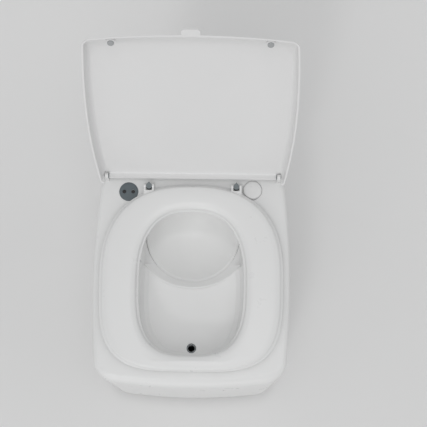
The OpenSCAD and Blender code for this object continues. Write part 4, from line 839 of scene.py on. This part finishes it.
def rear_space(g, bottom):
    """The room of the turning bowl, or with g the insert's outside round it."""
    mid = clip_poly(hole_points(THROAT + g), on_disc(DIV_R + g))
    arc = [p for p in circle(DIV_R + g, 0, DIV_MID, 480) if inside_hole(p, THROAT + g)]
    loops = [
        [(x, y, LIP_Z - g) for x, y in circle(LIP_R + g, 0, BOWL_Y)],
        [(x, y, CHUTE_TOP) for x, y in circle(CHUTE_R + g, 0, BOWL_Y)],
        [(x, y, DIV_Z - 1 - g) for x, y in mid + arc],
        [(x, y, DIV_Z - g) for x, y in mid + arc],
        [(x, y, DECK - WALL) for x, y in clip_poly(hole_points(RIM + g), lambda p: p[1] >= SPLIT)],
    ]
    room = hull_mesh("insert_shell", loops)
    low_top = LIP_Z if g else LIP_LOW
    low = cyl("low", CHUTE_R + g, bottom, low_top, (0, BOWL_Y, 0), n=160, slot="inner_plastic")
    lip = cyl("lip", LIP_R + g, LIP_LOW - 1, LIP_Z + 0.1, (0, BOWL_Y, 0), n=160, slot="inner_plastic")
    return boolean(boolean(room, low, "UNION"), lip, "UNION")


def front_space(g):
    """The urine tray's room, or with g the insert's outside round it."""
    c, s = math.cos(math.radians(TRAY_SLOPE)), math.sin(math.radians(TRAY_SLOPE))

    def tray_part(grow):
        return clip_poly(hole_points(grow), lambda p: p[1] <= TRAY_END)

    loops = [[(x, y, DECK - WALL) for x, y in tray_part(RIM + g)]]
    # What each outline below is drawn in by, its height over the tray and what g takes off that
    for inward, up, share in ((2, 34, 0), (5, 21, 0.6), (9, 12, 0.8), (15, 4.5, 0.9), (24, 0, 1)):
        z = TRAY_Z + (up - g * share)
        flat = tray_part(RIM - inward + g)
        loops.append([(x, DIV_Y + (y - DIV_Y) * c, z + (y - DIV_Y) * s) for x, y in flat])
    return hull_mesh("tray_space", loops)


def build_insert():
    under = DECK - WALL
    body = rear_space(INSERT_T, CHUTE_LOW)
    boolean(body, front_space(INSERT_T), "UNION")
    edge = hole_points(RIM + FLANGE_OUT, COARSE_HOLE_STEPS)
    boolean(body, prism("flange", edge, under - FLANGE_T, under - FLANGE_GAP, "inner_plastic"), "UNION")
    drain = (0, DRAIN_Y, 0)
    boolean(body, cyl("boss", DRAIN_BOSS_R, DRAIN_Z - DRAIN_BOSS, DRAIN_Z - 0.5, drain, n=64), "UNION")
    for s in (-1, 1):
        ends = sided(s, CHUTE_R, CHUTE_R + BOSS_OUT)
        boolean(body, cyl("boss", SHAFT_BOSS_R, *ends, BOWL_AXIS, axis="X", n=64), "UNION")
    boolean(body, rear_space(0, CHUTE_LOW - 1))
    tray = front_space(0)
    boolean(tray, cyl("ridge", DIV_R + DIV_T, 0, DIV_Z, (0, DIV_MID, 0), n=256))
    boolean(body, tray)
    boolean(body, cyl("cut", DRAIN_SEAT_R, DRAIN_Z - DRAIN_SINK, DRAIN_Z + 20, drain, n=64))
    boolean(body, cyl("cut", DRAIN_BORE_R, DRAIN_Z - 30, DRAIN_Z + 10, drain, n=64))
    for s in (-1, 1):
        ends = sided(s, CHUTE_R - 4, CHUTE_R + BOSS_OUT + 1)
        boolean(body, cyl("cut", BUSH_R, *ends, BOWL_AXIS, axis="X", n=64))
    boolean(body, box_piece("cut", (-300, -300, under), (300, 300, DECK + 20)))
    polish(body, bevel=1.6, angle=24, segments=4, limit=28)
    return place(body, "body", "bowl_insert")


# Turning bowl

def build_bowl(steps=40):
    r, rim = BOWL_R, BOWL_RIM
    below_rim = 0.995  # the outside begins a little below the rim's rounding
    inner = (r * r + BOWL_DEPTH * BOWL_DEPTH) / (2 * BOWL_DEPTH)
    outer = inner + BOWL_T
    cz = rim - BOWL_DEPTH + inner

    def on_ball(radius, a):
        return radius * math.sin(a), cz - radius * math.cos(a)

    a_in, a_out = math.asin(r / inner), math.acos((cz - rim) / outer)
    ro = outer * math.sin(a_out)
    profile = [on_ball(inner, a_in * k / steps) for k in range(steps + 1)]
    profile += [(r + 0.5, rim - 0.2), (r + 1.2, rim), (ro - 1.2, rim), (ro - 0.3, rim - 0.3)]
    profile += [on_ball(outer, a_out * (1 - k / steps) * below_rim) for k in range(steps + 1)]
    bowl = revolve("bowl_shell", profile, (0, BOWL_Y, 0), slot="inner_plastic", n=160)
    half_circle = [on_ball(inner, math.pi * k / steps) for k in range(steps + 1)]
    ball = revolve("ball", half_circle, (0, BOWL_Y, 0))
    hubs = [cyl("hub", HUB_R, *sided(s, HUB_IN, HUB_OUT), BOWL_AXIS, axis="X", n=64, slot="inner_plastic")
            for s in (-1, 1)]
    for hub in hubs:
        boolean(hub, ball, keep=True)
        boolean(bowl, hub, "UNION")
    bpy.data.objects.remove(ball)
    for s in (-1, 1):
        boolean(bowl, cyl("cut", SHAFT_R, *sided(s, r, HUB_OUT + 1), BOWL_AXIS, axis="X", n=48))
    polish(bowl, bevel=0.5, angle=34)
    # the bowl is painted brighter to stand in for light that its shaded dish does not get
    look(bowl, "bowl_painted_light")
    return place(bowl, "turning_bowl", "rotating_bowl")


# Button, sensor and drain, as (radius, height) outlines

def lifted(profile, z):
    return [(r, z + h) for r, h in profile]


def build_button():
    profile = [
        (0, 3.5), (8, 3.48), (13, 3.4), (16, 3.2), (17.6, 2.9), (18.6, 2.3), (19.1, 1.4), (19.2, 0.4),
        (19.2, -0.35), (19.35, -0.5), (19.8, -0.5), (19.8, -13), (16.7, -13), (16.7, -3), (4, -3),
        (4, -36), (0, -36),
    ]
    cap = revolve("button_cap", lifted(profile, DECK), (*BUTTON, 0), n=128)
    polish(cap, bevel=0.3, angle=40)
    return place(cap, "button", "push_button")


def build_sensor():
    profile = [
        (0, 0.8), (17.6, 0.8), (19.0, 0.62), (19.7, 0.1), (19.8, -1.2), (16.8, -1.2), (16.8, -16),
        (0, -16),
    ]
    plate = revolve("sensor_plate", lifted(profile, DECK), (*SENSOR, 0), slot="grey_plastic", n=128)
    for s in (-1, 1):
        where = (SENSOR[0] + s * WINDOW_X, SENSOR[1], 0)
        boolean(plate, cyl("cut", WINDOW_R, DECK - 7, DECK + 3, where, n=48))
    polish(plate, bevel=0.35, angle=30)
    return place(plate, "body", "sensor_face")


def build_drain():
    z = DRAIN_Z - DRAIN_SINK
    profile = [
        (7.7, 0.2), (7.9, 0.9), (8.3, 1.2), (9.2, 1.2), (9.7, 0.9), (10, 0.3), (10, 0), (8.7, 0),
        (8.7, -22.8), (7.7, -22.8),
    ]
    ring = revolve("drain_lip", lifted(profile, z), (0, DRAIN_Y, 0), slot="grey_plastic", n=96)
    polish(ring, bevel=0.0, angle=40)
    # The inner lip and the upper part of the bore are painted near white, a painted highlight for the
    # light they catch
    lip_r, bore_depth = 8.2, 12
    ring.data.materials.append(MAT["bore_painted_light"])
    for face in ring.data.polygons:
        c = face.center
        if math.hypot(c.x, c.y - DRAIN_Y * MM) < lip_r * MM and c.z > (z - bore_depth) * MM:
            face.material_index = 1
    return place(ring, "body", "drain_ring")


# Nodes that stay as they are in the part: their materials, and a fine bevel

FINISH = {"seat_posts": "post_grey"}


def dress():
    for name, ob in frame["nodes"].items():
        if ob.hide_render:
            continue
        look(ob, FINISH.get(name, SLOT_OF[name]))
        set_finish(ob, SLOT_OF[name])
        bevel_edges(ob, width=0.25, segments=2, angle=40)


# Floor and light

def stage(half=30.0):
    """A flat floor, with its half width in metres."""
    mesh = bpy.data.meshes.new("floor")
    corners = [(x * half, y * half, 0) for x, y in ((-1, -1), (1, -1), (1, 1), (-1, 1))]
    mesh.from_pydata(corners, [], [(0, 1, 2, 3)])
    ob = add_object("floor", mesh)
    m, nt, shader = tree("pale_floor")
    clouds = noise(nt, coordinates(nt), scale=3.0, detail=5.0)
    tint(nt, shader, clouds, (0.76, 0.757, 0.753), (0.775, 0.772, 0.768))
    shader.inputs["Roughness"].default_value = 0.8
    shader.inputs["Specular IOR Level"].default_value = 0.1
    mesh.materials.append(m)


def soft_light(name, toward, spread, power):
    """A far, soft lamp: the direction points from the object to the lamp, the spread is in degrees."""
    lamp = bpy.data.lights.new(name, "SUN")
    lamp.energy = power
    lamp.angle = math.radians(spread)
    ob = add_object(name, lamp)
    ob.rotation_mode = "QUATERNION"
    ob.rotation_quaternion = (-Vector(toward)).to_track_quat("-Z", "Y")


def world(light=0.49, extra=0.17):
    """An even sky; the lens, mirrors and clear pieces see it as pale as the floor, brighter by extra."""
    w = bpy.data.worlds.new("studio")
    w.use_nodes = True
    nt = w.node_tree
    sky = nt.nodes["Background"]
    sky.inputs["Color"].default_value = (0.98, 0.99, 1.0, 1)
    path = nt.nodes.new("ShaderNodeLightPath")
    seen = path.outputs["Is Camera Ray"]
    for ray in ("Is Glossy Ray", "Is Transmission Ray"):
        either = nt.nodes.new("ShaderNodeMath")
        either.operation = "MAXIMUM"
        nt.links.new(seen, either.inputs[0])
        nt.links.new(path.outputs[ray], either.inputs[1])
        seen = either.outputs[0]
    level = nt.nodes.new("ShaderNodeMath")
    level.operation = "MULTIPLY_ADD"
    nt.links.new(seen, level.inputs[0])
    level.inputs[1].default_value = extra
    level.inputs[2].default_value = light
    nt.links.new(level.outputs[0], sky.inputs["Strength"])
    bpy.context.scene.world = w


def lights():
    soft_light("overhead", (0.02, -0.2, 1), 30, 0.3)
    soft_light("key", (-0.22, -0.6, 1), 7, 0.2)
    soft_light("front_fill", (-0.25, -1, 0.45), 50, 0.61)
    soft_light("left_fill", (-1, -0.1, 0.7), 50, 0.14)
    soft_light("top_edge", (0, 0.05, 1), 3, 0.12)
    soft_light("right_fill", (1, -0.1, 0.6), 50, 0.2)
    soft_light("rear_fill", (0.1, 1, 0.8), 50, 0.07)


# The whole scene

photo_camera()
build_deck()
build_casing()
build_seat()
build_lid()
build_bumpers()
build_insert()
build_bowl()
build_button()
build_sensor()
build_drain()
dress()
stage()
world()
lights()
bpy.context.scene.view_settings.view_transform = "Standard"
